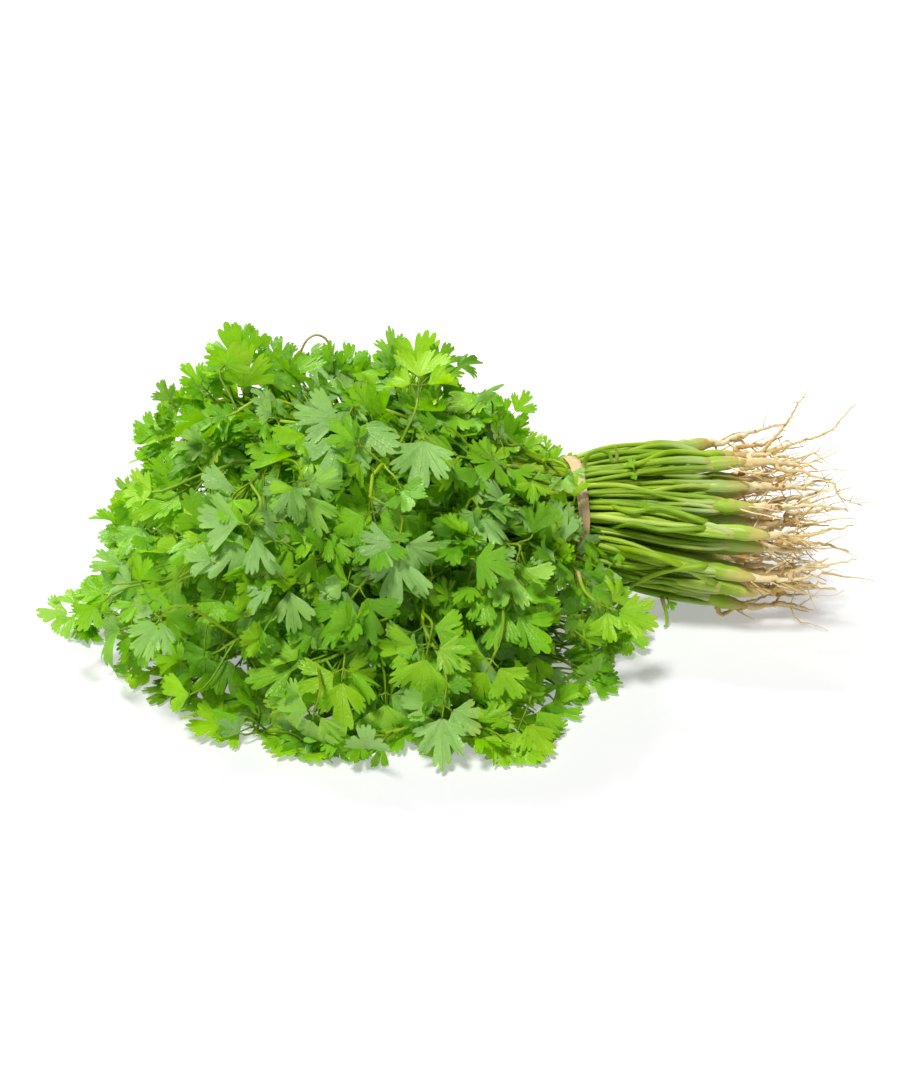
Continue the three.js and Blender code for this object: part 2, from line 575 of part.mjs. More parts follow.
function buildPlant(plant) {
  const shell = new Shell();
  const { dir, up } = plant;
  const side2 = dir.clone().cross(up);          // up x side2 = dir
  // Crown cap: eight corners, with one square opening for each stalk.
  const cap = [], cap2 = [];
  for (let k = 0; k < 8; k++) {
    const w = k * Math.PI / 4;
    cap.push(shell.add(plant.crown.clone().addScaledVector(up, CROWN.cap * Math.cos(w)).addScaledVector(side2, CROWN.cap * Math.sin(w))));
    cap2.push([CROWN.cap * Math.cos(w), CROWN.cap * Math.sin(w)]);
  }
  const holeIdx = [], hole2 = [];
  for (const { blade, tube } of plant.stalks) {
    const pts = tube.pts, n = pts.length;
    // Section axes, carried back from the blade to the crown.
    const tan = pts.map((p, i) => (i === 0 ? dir.clone() : i === n - 1 ? blade.a.clone()
      : pts[i + 1].clone().sub(pts[i]).normalize().add(p.clone().sub(pts[i - 1]).normalize()).normalize()));
    const N = new Array(n);
    N[n - 1] = blade.n.clone();
    for (let i = n - 2; i >= 0; i--) N[i] = perpendicular(N[i + 1].clone(), tan[i]);
    const rings = pts.map((p, i) => {
      const X = tan[i].clone().cross(N[i]).normalize();
      const q = tube.rad[i] / Math.SQRT2;
      const [rx, ry] = i === n - 1 ? [BLADE_BASE, BLADE_T / 2] : [q, q];
      return square(shell, p, X, N[i], rx, ry);
    });
    for (let i = 0; i + 1 < n; i++) join(shell, rings[i], rings[i + 1]);
    holeIdx.push(rings[0]);
    hole2.push(rings[0].map((k) => { const v = shell.vert(k).sub(plant.crown); return [v.dot(up), v.dot(side2)]; }));
    // Blade.
    const last = rings[n - 1], pl = blade.pts, m = pl.length;
    const top = [], low = [];
    for (let i = 0; i < m; i++) {
      top.push(i === 0 ? last[0] : i === m - 1 ? last[3] : shell.add(blade.at(pl[i][0], pl[i][1], BLADE_T / 2)));
      low.push(i === 0 ? last[1] : i === m - 1 ? last[2] : shell.add(blade.at(pl[i][0], pl[i][1], -BLADE_T / 2)));
    }
    for (const [a, b, c] of flatFaces(pl, [])) { shell.tri(top[a], top[b], top[c]); shell.tri(low[a], low[c], low[b]); }
    for (let i = 0; i + 1 < m; i++) shell.quad(low[i], low[i + 1], top[i + 1], top[i]);
  }
  const idx = [...cap, ...holeIdx.flat()];
  for (const [a, b, c] of flatFaces(cap2, hole2)) shell.tri(idx[a], idx[b], idx[c]);
  // Crown body, then the neck of the root.
  const belly = [];
  for (let k = 0; k < 8; k++) {
    const w = k * Math.PI / 4;
    belly.push(shell.add(plant.crown.clone().addScaledVector(dir, -3.2)
      .addScaledVector(up, CROWN.r * Math.cos(w)).addScaledVector(side2, CROWN.r * Math.sin(w))));
  }
  for (let k = 0; k < 8; k++) { const j = (k + 1) % 8; shell.quad(cap[j], cap[k], belly[k], belly[j]); }
  const rings = rootRings(plant).map((r) => r.map((p) => shell.add(p)));
  for (let j = 0; j < 4; j++) {
    const A = belly, B = rings[0], a0 = 2 * j, a1 = 2 * j + 1, a2 = (2 * j + 2) % 8, b = (j + 1) % 4;
    shell.tri(A[a1], A[a0], B[j]);
    shell.tri(A[a1], B[j], B[b]);
    shell.tri(A[a2], A[a1], B[b]);
  }
  for (let i = 0; i + 1 < rings.length; i++) {
    for (let j = 0; j < 4; j++) {
      const b = (j + 1) % 4;
      const base = [rings[i][b], rings[i][j], rings[i + 1][j], rings[i + 1][b]];
      const branch = plant.sides.find((s) => s.ring === i && s.face === j);
      if (!branch) { shell.quad(...base); continue; }
      let prev = base;
      let X = shell.vert(base[0]).sub(sideStart(plant, i, j).mid);
      const pts = branch.pts;
      for (let k = 0; k < pts.length; k++) {
        const from = k ? pts[k - 1] : sideStart(plant, i, j).mid;
        const t = (k + 1 < pts.length ? pts[k + 1].clone().sub(pts[k]).normalize() : V(0, 0, 0)).add(pts[k].clone().sub(from).normalize()).normalize();
        X = perpendicular(X, t);
        const Y = t.clone().cross(X);
        const r = branch.tube.rad[k];
        const ring = [];
        for (let q = 0; q < 4; q++) ring.push(shell.add(pts[k].clone().addScaledVector(X, r * Math.cos(q * Math.PI / 2)).addScaledVector(Y, r * Math.sin(q * Math.PI / 2))));
        join(shell, prev, ring);
        prev = ring;
      }
      shell.quad(...prev);
    }
  }
  const tip = rings[rings.length - 1];
  shell.quad(tip[3], tip[2], tip[1], tip[0]);
  return shell.geometry();
}

// ------------------------------------------------------------------ the part
const bunch = new THREE.Group();
bunch.name = 'coriander_bunch';

const GREENS = [0x6fa02c, 0x7aae33, 0x5f9428, 0x84b43c, 0x6a9c34];
for (const plant of plants) {
  const material = new THREE.MeshStandardMaterial({ color: GREENS[plant.id % GREENS.length], roughness: 0.55, metalness: 0 });
  const mesh = new THREE.Mesh(buildPlant(plant), material);
  mesh.name = `plant_${String(plant.id + 1).padStart(2, '0')}`;
  mesh.userData.plant = {
    crown: plant.crown, dir: plant.dir, root: plant.root.pts, sides: plant.sides.map((s) => s.pts),
    stalks: plant.stalks.map(({ blade, tube }) => ({
      start: tube.pts[0], mid: tube.pts[1], tie: tube.pts[2], curve: tube.curve,
      base: blade.base, a: blade.a, n: blade.n, L: blade.L, flat: !!blade.flat,
    })),
  };
  bunch.add(mesh);
}

// The tie: a flat strip closed round the stalks, its axis along X.
const half = TIE.width / 2;
const strip = new THREE.LatheGeometry([
  new THREE.Vector2(TIE.inner, -half), new THREE.Vector2(TIE.outer, -half),
  new THREE.Vector2(TIE.outer, half), new THREE.Vector2(TIE.inner, half),
  new THREE.Vector2(TIE.inner, -half),
], TIE.sides);
const tie = new THREE.Mesh(strip, new THREE.MeshStandardMaterial({ color: 0xd9b48c, roughness: 0.7, metalness: 0 }));
tie.name = 'tie_strip';
tie.rotation.z = Math.PI / 2;
tie.position.set(TIE.x, TIE.y, TIE.z);
bunch.add(tie);

// The origin is the middle of the bottom of the whole bunch.
bunch.updateMatrixWorld(true);
const box = new THREE.Box3().setFromObject(bunch, true);
bunch.position.set(-(box.min.x + box.max.x) / 2, -(box.min.y + box.max.y) / 2, -box.min.z);
bunch.updateMatrixWorld(true);

export default bunch;
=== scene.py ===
"""A tied bunch of fresh coriander with its roots, lying on its side."""
import math

import bpy
import numpy as np
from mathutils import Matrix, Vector


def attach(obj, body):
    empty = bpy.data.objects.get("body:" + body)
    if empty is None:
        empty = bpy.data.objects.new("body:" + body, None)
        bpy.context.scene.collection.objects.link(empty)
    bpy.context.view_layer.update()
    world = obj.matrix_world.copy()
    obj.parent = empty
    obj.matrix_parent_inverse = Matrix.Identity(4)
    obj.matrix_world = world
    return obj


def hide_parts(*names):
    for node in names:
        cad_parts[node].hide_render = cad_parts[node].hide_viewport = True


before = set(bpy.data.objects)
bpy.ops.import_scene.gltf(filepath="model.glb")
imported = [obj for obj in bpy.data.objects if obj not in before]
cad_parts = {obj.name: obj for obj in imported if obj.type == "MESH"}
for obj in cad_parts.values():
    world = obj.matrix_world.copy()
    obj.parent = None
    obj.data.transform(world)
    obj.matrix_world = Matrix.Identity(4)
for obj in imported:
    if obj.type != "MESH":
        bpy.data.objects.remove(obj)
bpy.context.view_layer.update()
MM = 0.001

# Where each plant lies, in millimetres: name, crown, direction of its stalks,
# points of the taproot, points of its side roots, and its stalks. A stalk is
# start, middle, tie, the four points of the curve after the tie, then the base,
# axis, face and length of its leaf, and 1 where the leaf lies flat.
PLANTS = [
    ['plant_01', [109.8, 12.7, 37.9], [-0.994, 0.069, 0.083], [[116.3, 12.3, 37.4], [124.6, 11.7, 36.7], [132.4, 10.2, 35.8], [142.3, 8.3, 31.8]], [[[122.6, 13.9, 39], [137.1, 14.6, 35.9], [151.5, 17.5, 33.3]], [[130.1, 9.1, 34.4], [143.1, 4.9, 32.2], [156.8, 3, 31.7]]], [[[110, 13.7, 39.5], [79.5, 15.9, 42.1], [49.1, 17.9, 44.6], [[46.1, 17.9, 44.6], [-15.6, 22.4, 48], [-89.3, 26.7, 33.2], [-122.8, 30.7, 50.6]], [-122.8, 30.7, 50.6], [-0.827, 0.11, 0.551], [0.085, -0.945, 0.317], 34, 0], [[109.8, 14.3, 37], [79.5, 16.6, 39.5], [49.1, 18.5, 42], [[46.1, 18.5, 42], [7.2, 21.9, 42.1], [-107.7, 42.2, 40.9], [-137.5, 30.9, 21.4]], [-137.5, 30.9, 21.4], [-0.708, -0.378, -0.597], [-0.701, 0.273, 0.659], 32.7, 0], [[109.8, 11.1, 38.9], [79.4, 13.4, 41.6], [49.1, 15.4, 43.9], [[46.1, 15.4, 43.9], [-17.9, 16.5, 46.7], [-93.2, 10.6, 51.4], [-125.5, 11.4, 40]], [-125.5, 11.4, 40], [-0.913, 0.034, -0.406], [-0.406, -0.005, 0.914], 35.1, 0], [[109.6, 11.8, 36.3], [79.3, 14.1, 38.8], [49.1, 16, 41.4], [[46.1, 16, 41.4], [-7.8, 17.7, 40.7], [-22.6, 33.6, 19.6], [-62.8, 40.1, 30.4]], [-62.8, 40.1, 30.4], [-0.931, 0.135, 0.339], [0.306, 0.795, 0.524], 24.3, 0]]],
    ['plant_02', [107.7, 0.7, 38.5], [-0.983, 0.164, 0.083], [[114, -0.4, 38], [123.9, -1.1, 36.8], [133.1, -2.4, 35.1], [144.8, 0.8, 37.2]], [[[130.4, -3.5, 37.7], [140, -2.3, 39.4], [149.4, -2.5, 42.1]]], [[[107.7, -0.1, 40.2], [78.4, 4.5, 42.8], [49.1, 9.7, 45.1], [[46.1, 9.7, 45.1], [-13.4, 3.2, 49.3], [-90.7, -43, 58.3], [-113.9, -31.8, 52.9]], [-113.9, -31.8, 52.9], [-0.789, 0.561, -0.251], [-0.567, -0.506, 0.65], 37, 0], [[107.3, -1, 37.8], [78.2, 3.6, 40.3], [49.1, 8.8, 42.7], [[46.1, 8.8, 42.7], [2.1, 3.2, 43.4], [-96.8, -42.2, 49.9], [-128.6, -25.7, 32.3]], [-128.6, -25.7, 32.3], [-0.686, 0.529, -0.499], [-0.726, -0.532, 0.435], 36.3, 0], [[108, 2.4, 39.3], [78.5, 6.9, 41.9], [49.1, 12.1, 44.2], [[46.1, 12.1, 44.2], [-35.7, 7.6, 48.2], [-63.9, -45.8, 64.3], [-100.8, -35.3, 64]], [-100.8, -35.3, 64], [-0.914, 0.404, -0.042], [-0.292, -0.583, 0.758], 36.9, 0], [[107.6, 1.5, 36.9], [78.4, 6, 39.3], [49.1, 11.2, 41.8], [[46.1, 11.2, 41.8], [-13.7, 6.8, 41.6], [-71.3, -21.9, 50.5], [-97.3, -20.4, 42.9]], [-97.3, -20.4, 42.9], [-0.929, 0.125, -0.349], [-0.337, -0.676, 0.655], 29.4, 0]]],
    ['plant_03', [107.1, 13.3, 29.1], [-0.989, 0.067, 0.133], [[113.6, 12.9, 28.3], [123.6, 13, 26.6], [133, 13.5, 25.6], [144.9, 10.1, 24]], [[[130.3, 15, 27.9], [138.5, 15.9, 26.8], [146.7, 17.7, 26.6]]], [[[107.3, 12.6, 30.9], [78.2, 14.8, 34.4], [49.1, 16.6, 38.7], [[46.1, 16.6, 38.7], [-15.7, 19.3, 34.1], [-87, 37.2, 2.2], [-124.9, 39.7, 0.3]], [-124.9, 39.7, 0.3], [-0.999, 0.05, 0], [0, 0, 1], 36, 1], [[107, 14, 27.4], [78, 16.2, 31], [49.1, 18, 35.3], [[46.1, 18, 35.3], [-34.8, 23.9, 23.3], [-69.9, 50.2, 4.7], [-96, 48.4, 6.3]], [-96, 48.4, 6.3], [-0.983, -0.138, 0.123], [0.11, 0.098, 0.989], 34.7, 0], [[107.3, 15.1, 29.8], [78.2, 17.3, 33.4], [49.1, 19, 37.6], [[46.1, 19, 37.6], [10.4, 22.4, 34.2], [-73.3, 85.4, 3.7], [-109.8, 70.9, 4.2]], [-109.8, 70.9, 4.2], [-0.858, -0.51, 0.066], [0.086, -0.016, 0.996], 31.6, 0], [[106.9, 11.6, 28.5], [78, 13.7, 32], [49.1, 15.6, 36.3], [[46.1, 15.6, 36.3], [14.8, 16.2, 32.4], [-58.4, 11.6, 24.2], [-79.3, 15.3, 20.7]], [-79.3, 15.3, 20.7], [-0.962, 0.214, -0.171], [-0.073, 0.403, 0.912], 28.1, 0]]],
    ['plant_04', [108.6, 12.2, 46.6], [-0.997, 0.068, 0.032], [[115.1, 11.8, 46.4], [123.2, 11.4, 46.7], [130.9, 10, 47.1], [140.6, 12.7, 50.1]], [[[129.2, 12.4, 45.2], [142.9, 13.5, 46], [156.4, 14.9, 44.2]]], [[[108.6, 12.8, 44.8], [78.8, 15.1, 46.2], [49.1, 16.9, 46.8], [[46.1, 16.9, 46.8], [-15.5, 19.9, 53.2], [-72.4, 35.6, 61], [-104.5, 36.6, 81.2]], [-104.5, 36.6, 81.2], [-0.8, 0, 0.6], [0.236, -0.919, 0.315], 36, 0], [[108.7, 14, 47.1], [78.9, 16.2, 48.6], [49.1, 18, 49.1], [[46.1, 18, 49.1], [-18.1, 22.9, 59.1], [-98.9, 17.5, 87.9], [-116.8, 12.7, 73.3]], [-116.8, 12.7, 73.3], [-0.624, -0.225, -0.749], [-0.77, 0.009, 0.638], 27.3, 0], [[108.4, 10.5, 46], [78.8, 12.6, 47.5], [49.1, 14.6, 48], [[46.1, 14.6, 48], [-0.1, 14.5, 54], [-102.8, 8.1, 60.9], [-124, 8.7, 51.4]], [-124, 8.7, 51.4], [-0.861, 0.04, -0.506], [-0.506, 0.028, 0.862], 30.9, 0], [[108.6, 11.7, 48.4], [78.8, 13.8, 49.8], [49.1, 15.7, 50.3], [[46.1, 15.7, 50.3], [3.1, 16.8, 58.1], [-24.5, 19.9, 58.2], [-68.3, 15.7, 61.3]], [-68.3, 15.7, 61.3], [-0.991, -0.117, 0.063], [0.072, -0.074, 0.995], 30.1, 0]]],
    ['plant_05', [109.8, -4.3, 29.9], [-0.971, 0.2, 0.127], [[116.1, -5.6, 29.1], [125.6, -5.7, 28.5], [134.5, -5.2, 28.2], [145.9, -4.4, 28.7]], [[[122.8, -3.7, 30.9], [132.6, -4.2, 32.2], [142, -2.8, 35.2]], [[132, -7.2, 26.6], [139.7, -6.9, 27.3], [147.4, -5.9, 26.2]]], [[[110, -2.6, 29.4], [79.6, 3.2, 33], [49.1, 9.9, 37.3], [[46.1, 9.9, 37.3], [-15.3, 3.6, 31], [-78.4, 8.8, 2.2], [-108.2, -14.7, 0.3]], [-108.2, -14.7, 0.3], [-0.707, -0.707, 0], [0, 0, 1], 36, 1], [[109.4, -4.8, 28.2], [79.3, 1, 31.8], [49.1, 7.7, 36.1], [[46.1, 7.7, 36.1], [-16.2, -1.7, 28], [-48.9, -80.4, 2.8], [-92.8, -66.4, 2.8]], [-92.8, -66.4, 2.8], [-0.884, 0.464, 0.052], [0.01, -0.093, 0.996], 36.2, 0], [[109.5, -6.1, 30.4], [79.3, -0.3, 34.2], [49.1, 6.5, 38.4], [[46.1, 6.5, 38.4], [1, -1.6, 34.7], [-75.4, -59.1, 51.4], [-97.4, -57.6, 38.3]], [-97.4, -57.6, 38.3], [-0.781, 0.17, -0.602], [-0.556, -0.629, 0.543], 35.8, 0], [[110.1, -3.9, 31.7], [79.6, 1.9, 35.4], [49.1, 8.7, 39.6], [[46.1, 8.7, 39.6], [8.8, 3.8, 37.6], [-28.4, -29.8, 29.2], [-77.8, -25.7, 30.9]], [-77.8, -25.7, 30.9], [-0.984, 0.168, 0.059], [-0.074, -0.688, 0.722], 34.2, 0]]],
    ['plant_06', [104.9, 25, 34.5], [-0.994, -0.036, 0.108], [[111.4, 25.2, 33.8], [121.2, 25.1, 33.2], [130.4, 25.5, 33.8], [142, 29.6, 31.3]], [[[127.7, 23.5, 35.3], [139.1, 22.3, 35.9], [150.4, 22.5, 37.3]]], [[[104.9, 26.8, 34.6], [77, 26.4, 37.5], [49.1, 24.8, 40.6], [[46.1, 24.8, 40.6], [-27.8, 41.3, 38.5], [-42.4, 77.4, 41.7], [-90.2, 67.4, 41.6]], [-90.2, 67.4, 41.6], [-0.947, -0.321, -0.004], [-0.282, 0.828, 0.484], 32.2, 0], [[104.7, 25, 32.7], [76.9, 24.6, 35.6], [49.1, 23, 38.8], [[46.1, 23, 38.8], [-13, 33.8, 34.6], [-71.4, 68.4, 30.7], [-109, 57, 31]], [-109, 57, 31], [-0.914, -0.405, 0.021], [-0.346, 0.808, 0.477], 34.2, 0], [[105.1, 24.9, 36.4], [77.1, 24.5, 39.4], [49.1, 22.9, 42.4], [[46.1, 22.9, 42.4], [-32.6, 37.2, 43.2], [-77.3, 59.3, 76.5], [-108.3, 56.2, 60.1]], [-108.3, 56.2, 60.1], [-0.8, -0.157, -0.579], [-0.525, 0.65, 0.549], 32.1, 0], [[105, 23.1, 34.5], [77, 22.7, 37.4], [49.1, 21.1, 40.6], [[46.1, 21.1, 40.6], [-21.4, 30.7, 38.4], [-37.7, 69, 48.1], [-70.4, 69.4, 47]], [-70.4, 69.4, 47], [-0.995, -0.079, -0.052], [-0.095, 0.841, 0.533], 36.6, 0]]],
    ['plant_07', [111.2, -2.5, 47.3], [-0.983, 0.182, 0.031], [[117.6, -3.7, 47.1], [125.5, -4.3, 46.7], [132.9, -5.5, 46.7], [142.3, -2.9, 47.9]], [[[131.2, -3.2, 48.4], [143.1, -4.3, 50.1], [154.5, -5, 54]]], [[[111.4, -1, 46.2], [80.3, 4.3, 47.7], [49.1, 10.5, 48.2], [[46.1, 10.5, 48.2], [-15.1, 4.9, 56.6], [-65.6, 2, 95.2], [-100.4, -9.2, 85.2]], [-100.4, -9.2, 85.2], [-0.866, -0.325, -0.379], [-0.17, -0.522, 0.836], 38, 0], [[110.9, -4.1, 48.3], [80, 1.2, 49.8], [49.1, 7.5, 50.3], [[46.1, 7.5, 50.3], [-18.8, -2.8, 62], [-17.2, -16.1, 100.1], [-56.7, -23.6, 100.3]], [-56.7, -23.6, 100.3], [-0.981, -0.162, -0.102], [-0.05, -0.296, 0.954], 36.4, 0], [[110.9, -3.5, 45.7], [80, 1.7, 47.1], [49.1, 8, 47.7], [[46.1, 8, 47.7], [-4.8, 0.5, 54.1], [-19.8, -10.4, 62.4], [-63.2, -12.1, 58.5]], [-63.2, -12.1, 58.5], [-0.991, -0.004, -0.136], [-0.115, -0.518, 0.848], 32.1, 0], [[111.4, -1.5, 48.8], [80.2, 3.8, 50.3], [49.1, 10, 50.8], [[46.1, 10, 50.8], [7, 5.9, 58.3], [-33.4, -15.9, 74.9], [-55.8, -12.7, 82]], [-55.8, -12.7, 82], [-0.93, 0.217, 0.298], [0.307, 0.011, 0.951], 22.9, 0]]],
    ['plant_08', [103.2, 7, 21.3], [-0.973, 0.123, 0.196], [[109.5, 6.2, 20], [118, 5.2, 18.4], [126, 4.8, 15.7], [136.1, 7.3, 10.4]], [[[115.8, 3.7, 21.1], [122.3, 2.5, 19.9], [128.9, 2.1, 19.3]], [[123.6, 6.9, 15.3], [130.5, 8.3, 15.7], [137.5, 8.6, 14.8]]], [[[102.8, 5.8, 19.9], [75.9, 9.1, 24.6], [49.1, 12.7, 30.8], [[46.1, 12.7, 30.8], [-35.5, 9.2, 10.7], [-92.4, 11.8, 4.4], [-114, 9.3, 4.9]], [-114, 9.3, 4.9], [-0.988, -0.138, 0.069], [0.063, 0.051, 0.997], 26.4, 0], [[103.3, 5.6, 22.4], [76.2, 8.8, 27.2], [49.1, 12.4, 33.3], [[46.1, 12.4, 33.3], [-34.2, 8.5, 18], [-42.9, 11, 27.1], [-92.1, 1.3, 15.9]], [-92.1, 1.3, 15.9], [-0.946, -0.217, -0.239], [-0.04, -0.657, 0.753], 25.4, 0], [[103.6, 8.2, 22.6], [76.4, 11.6, 27.4], [49.1, 15, 33.5], [[46.1, 15, 33.5], [-0.6, 15.4, 24.9], [-70, 31.5, 26.3], [-109.8, 15.2, 20.7]], [-109.8, 15.2, 20.7], [-0.875, -0.463, -0.138], [-0.149, -0.012, 0.989], 20, 0]]],
    ['plant_09', [111.1, 23.9, 47.3], [-0.999, -0.025, 0.03], [[117.6, 24, 47.1], [126.6, 24, 46.8], [135.1, 24.1, 47.5], [145.8, 27.3, 47.6]], [[[124.1, 26, 49], [132.4, 26.2, 50.3], [140.3, 25.6, 53.4]], [[132.9, 22.3, 45.4], [140.8, 23.1, 45.2], [148.5, 24, 43.5]]], [[[111.1, 22.3, 48.4], [80.1, 22.1, 49.8], [49.1, 20.8, 50.2], [[46.1, 20.8, 50.2], [-8.4, 28.2, 60], [-62.4, 44.4, 58.1], [-78.1, 42.5, 92.7]], [-78.1, 42.5, 92.7], [-0.241, -0.097, 0.966], [-0.002, -0.995, -0.1], 40, 0], [[111, 25.4, 46.2], [80, 25.3, 47.6], [49.1, 23.8, 48.1], [[46.1, 23.8, 48.1], [-18.3, 36.8, 56.8], [-75.6, 49.2, 93.9], [-98.5, 52.5, 77.2]], [-98.5, 52.5, 77.2], [-0.688, 0.085, -0.721], [-0.55, 0.587, 0.594], 31.8, 0], [[111.1, 22.8, 45.8], [80.1, 22.6, 47.2], [49.1, 21.2, 47.6], [[46.1, 21.2, 47.6], [-5.9, 28.8, 54.1], [-106.8, 17.7, 46], [-132.9, 21.1, 33.6]], [-132.9, 21.1, 33.6], [-0.852, 0.143, -0.504], [-0.505, 0.027, 0.862], 26.8, 0], [[111.1, 24.9, 48.8], [80.1, 24.7, 50.2], [49.1, 23.3, 50.7], [[46.1, 23.3, 50.7], [21.8, 28, 55.3], [-4.5, 34.7, 64.2], [-21.5, 33.9, 69.9]], [-21.5, 33.9, 69.9], [-0.941, -0.088, 0.328], [0.305, 0.205, 0.93], 24.4, 0]]],
    ['plant_10', [107.7, -12.5, 36.7], [-0.961, 0.263, 0.086], [[114, -14.2, 36.1], [122.2, -15.6, 35.9], [130, -16.3, 34.6], [139.9, -19, 30.5]], [[[120.2, -12.9, 34], [127.1, -11.9, 32.8], [133.5, -9.7, 30.9]], [[128.1, -17.7, 37], [144.6, -15.2, 33.7], [160.5, -13.1, 27.7]]], [[[108.1, -11.8, 38.4], [78.6, -4.6, 41.1], [49.1, 4.2, 43.6], [[46.1, 4.2, 43.6], [-14.1, -9.6, 45.7], [-65.5, -14.8, 115.2], [-88, -33.3, 90.8]], [-88, -33.3, 90.8], [-0.416, -0.468, -0.78], [-0.119, -0.822, 0.557], 43, 0], [[107.3, -14.2, 37.4], [78.2, -7, 40.1], [49.1, 1.9, 42.7], [[46.1, 1.9, 42.7], [16.3, -6.5, 43.1], [-41.9, -45.2, 76.1], [-72.6, -52.7, 62.2]], [-72.6, -52.7, 62.2], [-0.841, -0.155, -0.518], [-0.217, -0.781, 0.586], 38.4, 0], [[107.4, -13.2, 35], [78.2, -6, 37.5], [49.1, 2.8, 40.2], [[46.1, 2.8, 40.2], [-34.6, -18.1, 37.1], [-54.1, -53.5, 63.2], [-89.4, -46.4, 47.2]], [-89.4, -46.4, 47.2], [-0.82, 0.298, -0.49], [-0.448, -0.866, 0.223], 28.5, 0], [[108.1, -10.9, 35.9], [78.6, -3.7, 38.5], [49.1, 5.1, 41.2], [[46.1, 5.1, 41.2], [-10.9, -6.7, 40.1], [-13.4, -11.9, 45.4], [-63.5, -26.2, 43.4]], [-63.5, -26.2, 43.4], [-0.96, -0.275, -0.054], [0.1, -0.515, 0.852], 28.9, 0]]],
    ['plant_11', [108.9, 25.8, 25.2], [-0.988, -0.041, 0.149], [[115.3, 26, 24.2], [123.4, 26.7, 23.9], [130.9, 28.4, 23.7], [140.5, 30.6, 25]], [[[121.4, 24.4, 22], [132.5, 25.4, 20.6], [143.3, 26.3, 17.3]], [[128.8, 29.4, 25.7], [136.8, 32, 25.8], [144.8, 34.3, 24.6]]], [[[109.2, 24.4, 26.4], [79.1, 23.9, 30.4], [49.1, 21.9, 35.4], [[46.1, 21.9, 35.4], [-13, 31.5, 26.9], [-63, 28.2, 2.3], [-89.5, 55.4, 0.3]], [-89.5, 55.4, 0.3], [-0.6, 0.8, 0], [0, 0, 1], 38, 1], [[108.7, 27.1, 23.9], [78.9, 26.6, 27.9], [49.1, 24.6, 33], [[46.1, 24.6, 33], [15.6, 31.3, 26.9], [-1.3, 89.4, 3.2], [-48.4, 90.4, 3.9]], [-48.4, 90.4, 3.9], [-0.991, -0.113, 0.078], [0.082, -0.028, 0.996], 38.6, 0], [[109.1, 27, 26.5], [79.1, 26.5, 30.6], [49.1, 24.5, 35.5], [[46.1, 24.5, 35.5], [-14.2, 37.7, 27], [-41.1, 80.7, 45.5], [-75.8, 78.5, 28.9]], [-75.8, 78.5, 28.9], [-0.848, -0.169, -0.503], [-0.438, 0.758, 0.483], 32.2, 0], [[108.8, 24.5, 23.8], [78.9, 23.9, 27.7], [49.1, 22, 32.9], [[46.1, 22, 32.9], [21.4, 26.1, 27.9], [-12.7, 60.9, 2.2], [-50.3, 65.1, 1.5]], [-50.3, 65.1, 1.5], [-0.998, 0.036, 0.052], [0.051, -0.03, 0.998], 37.1, 0]]],
    ['plant_12', [105.9, 6.6, 54.7], [-0.993, 0.119, -0.009], [[112.3, 5.8, 54.7], [122.7, 5.5, 54.8], [132.5, 5, 53.8], [144.9, 6.8, 56.7]], [[[129.5, 7.1, 52.5], [136.2, 7.5, 52.8], [142.8, 7.5, 52.6]]], [[[106.1, 8.4, 55.2], [77.6, 11.8, 55.9], [49.1, 15.2, 54.7], [[46.1, 15.2, 54.7], [-6.1, 15.8, 69.3], [-20.6, -10.9, 95], [-71.7, 3, 100.3]], [-71.7, 3, 100.3], [-0.939, 0.343, 0.031], [0.073, 0.11, 0.991], 32.2, 0], [[105.7, 4.8, 54.1], [77.4, 8.1, 54.7], [49.1, 11.7, 53.6], [[46.1, 11.7, 53.6], [5.6, 9.1, 63.9], [-5.4, 17.8, 61], [-22.2, 12.2, 69]], [-22.2, 12.2, 69], [-0.818, -0.358, 0.45], [0.38, 0.25, 0.89], 26.7, 0], [[106, 7.2, 52.9], [77.5, 10.5, 53.5], [49.1, 14, 52.4], [[46.1, 14, 52.4], [-22.5, 13, 68.1], [-56.8, 26.4, 89.1], [-89.2, 15, 91.5]], [-89.2, 15, 91.5], [-0.912, -0.41, 0.014], [0.047, -0.071, 0.996], 32.2, 0]]],
    ['plant_13', [104.6, -5.9, 21.2], [-0.958, 0.222, 0.183], [[110.8, -7.4, 20], [121.7, -8.8, 18.8], [132, -10.8, 17.7], [145.1, -17.3, 14.2]], [[[118.5, -6.2, 21.4], [130.6, -7.6, 21], [142.3, -6.6, 18.2]], [[128.4, -11.6, 16.3], [137.6, -11.5, 14.3], [146.8, -11.2, 12.7]]], [[[104.9, -6.2, 23.1], [77, -0.4, 27.7], [49.1, 6.7, 33.6], [[46.1, 6.7, 33.6], [-12.7, -3.6, 22.8], [-75.6, -21.7, 2.3], [-77.9, -59.6, 0.3]], [-77.9, -59.6, 0.3], [0.148, -0.989, 0], [0, 0, 1], 40, 1], [[104.3, -5.7, 19.4], [76.7, 0.2, 24], [49.1, 7.2, 30], [[46.1, 7.2, 30], [-11, -2.1, 15], [4.2, -69.2, 3.2], [-30.1, -74.2, 2.6]], [-30.1, -74.2, 2.6], [-0.999, 0.009, 0.041], [0.042, 0.085, 0.996], 35.9, 0], [[104.1, -7.7, 21], [76.6, -1.9, 25.7], [49.1, 5.2, 31.6], [[46.1, 5.2, 31.6], [14.6, -1.3, 24.5], [-2.3, -79.1, 4.8], [-46.3, -86.7, 7.1]], [-46.3, -86.7, 7.1], [-0.994, -0.029, 0.106], [0.109, -0.092, 0.99], 31.1, 0], [[105.1, -4.1, 21.4], [77.1, 1.7, 26], [49.1, 8.7, 32], [[46.1, 8.7, 32], [-1.7, 2.5, 21.5], [-24.4, -10, 46], [-68.2, -18.5, 22.7]], [-68.2, -18.5, 22.7], [-0.823, -0.15, -0.548], [-0.084, -0.921, 0.379], 29.5, 0]]],
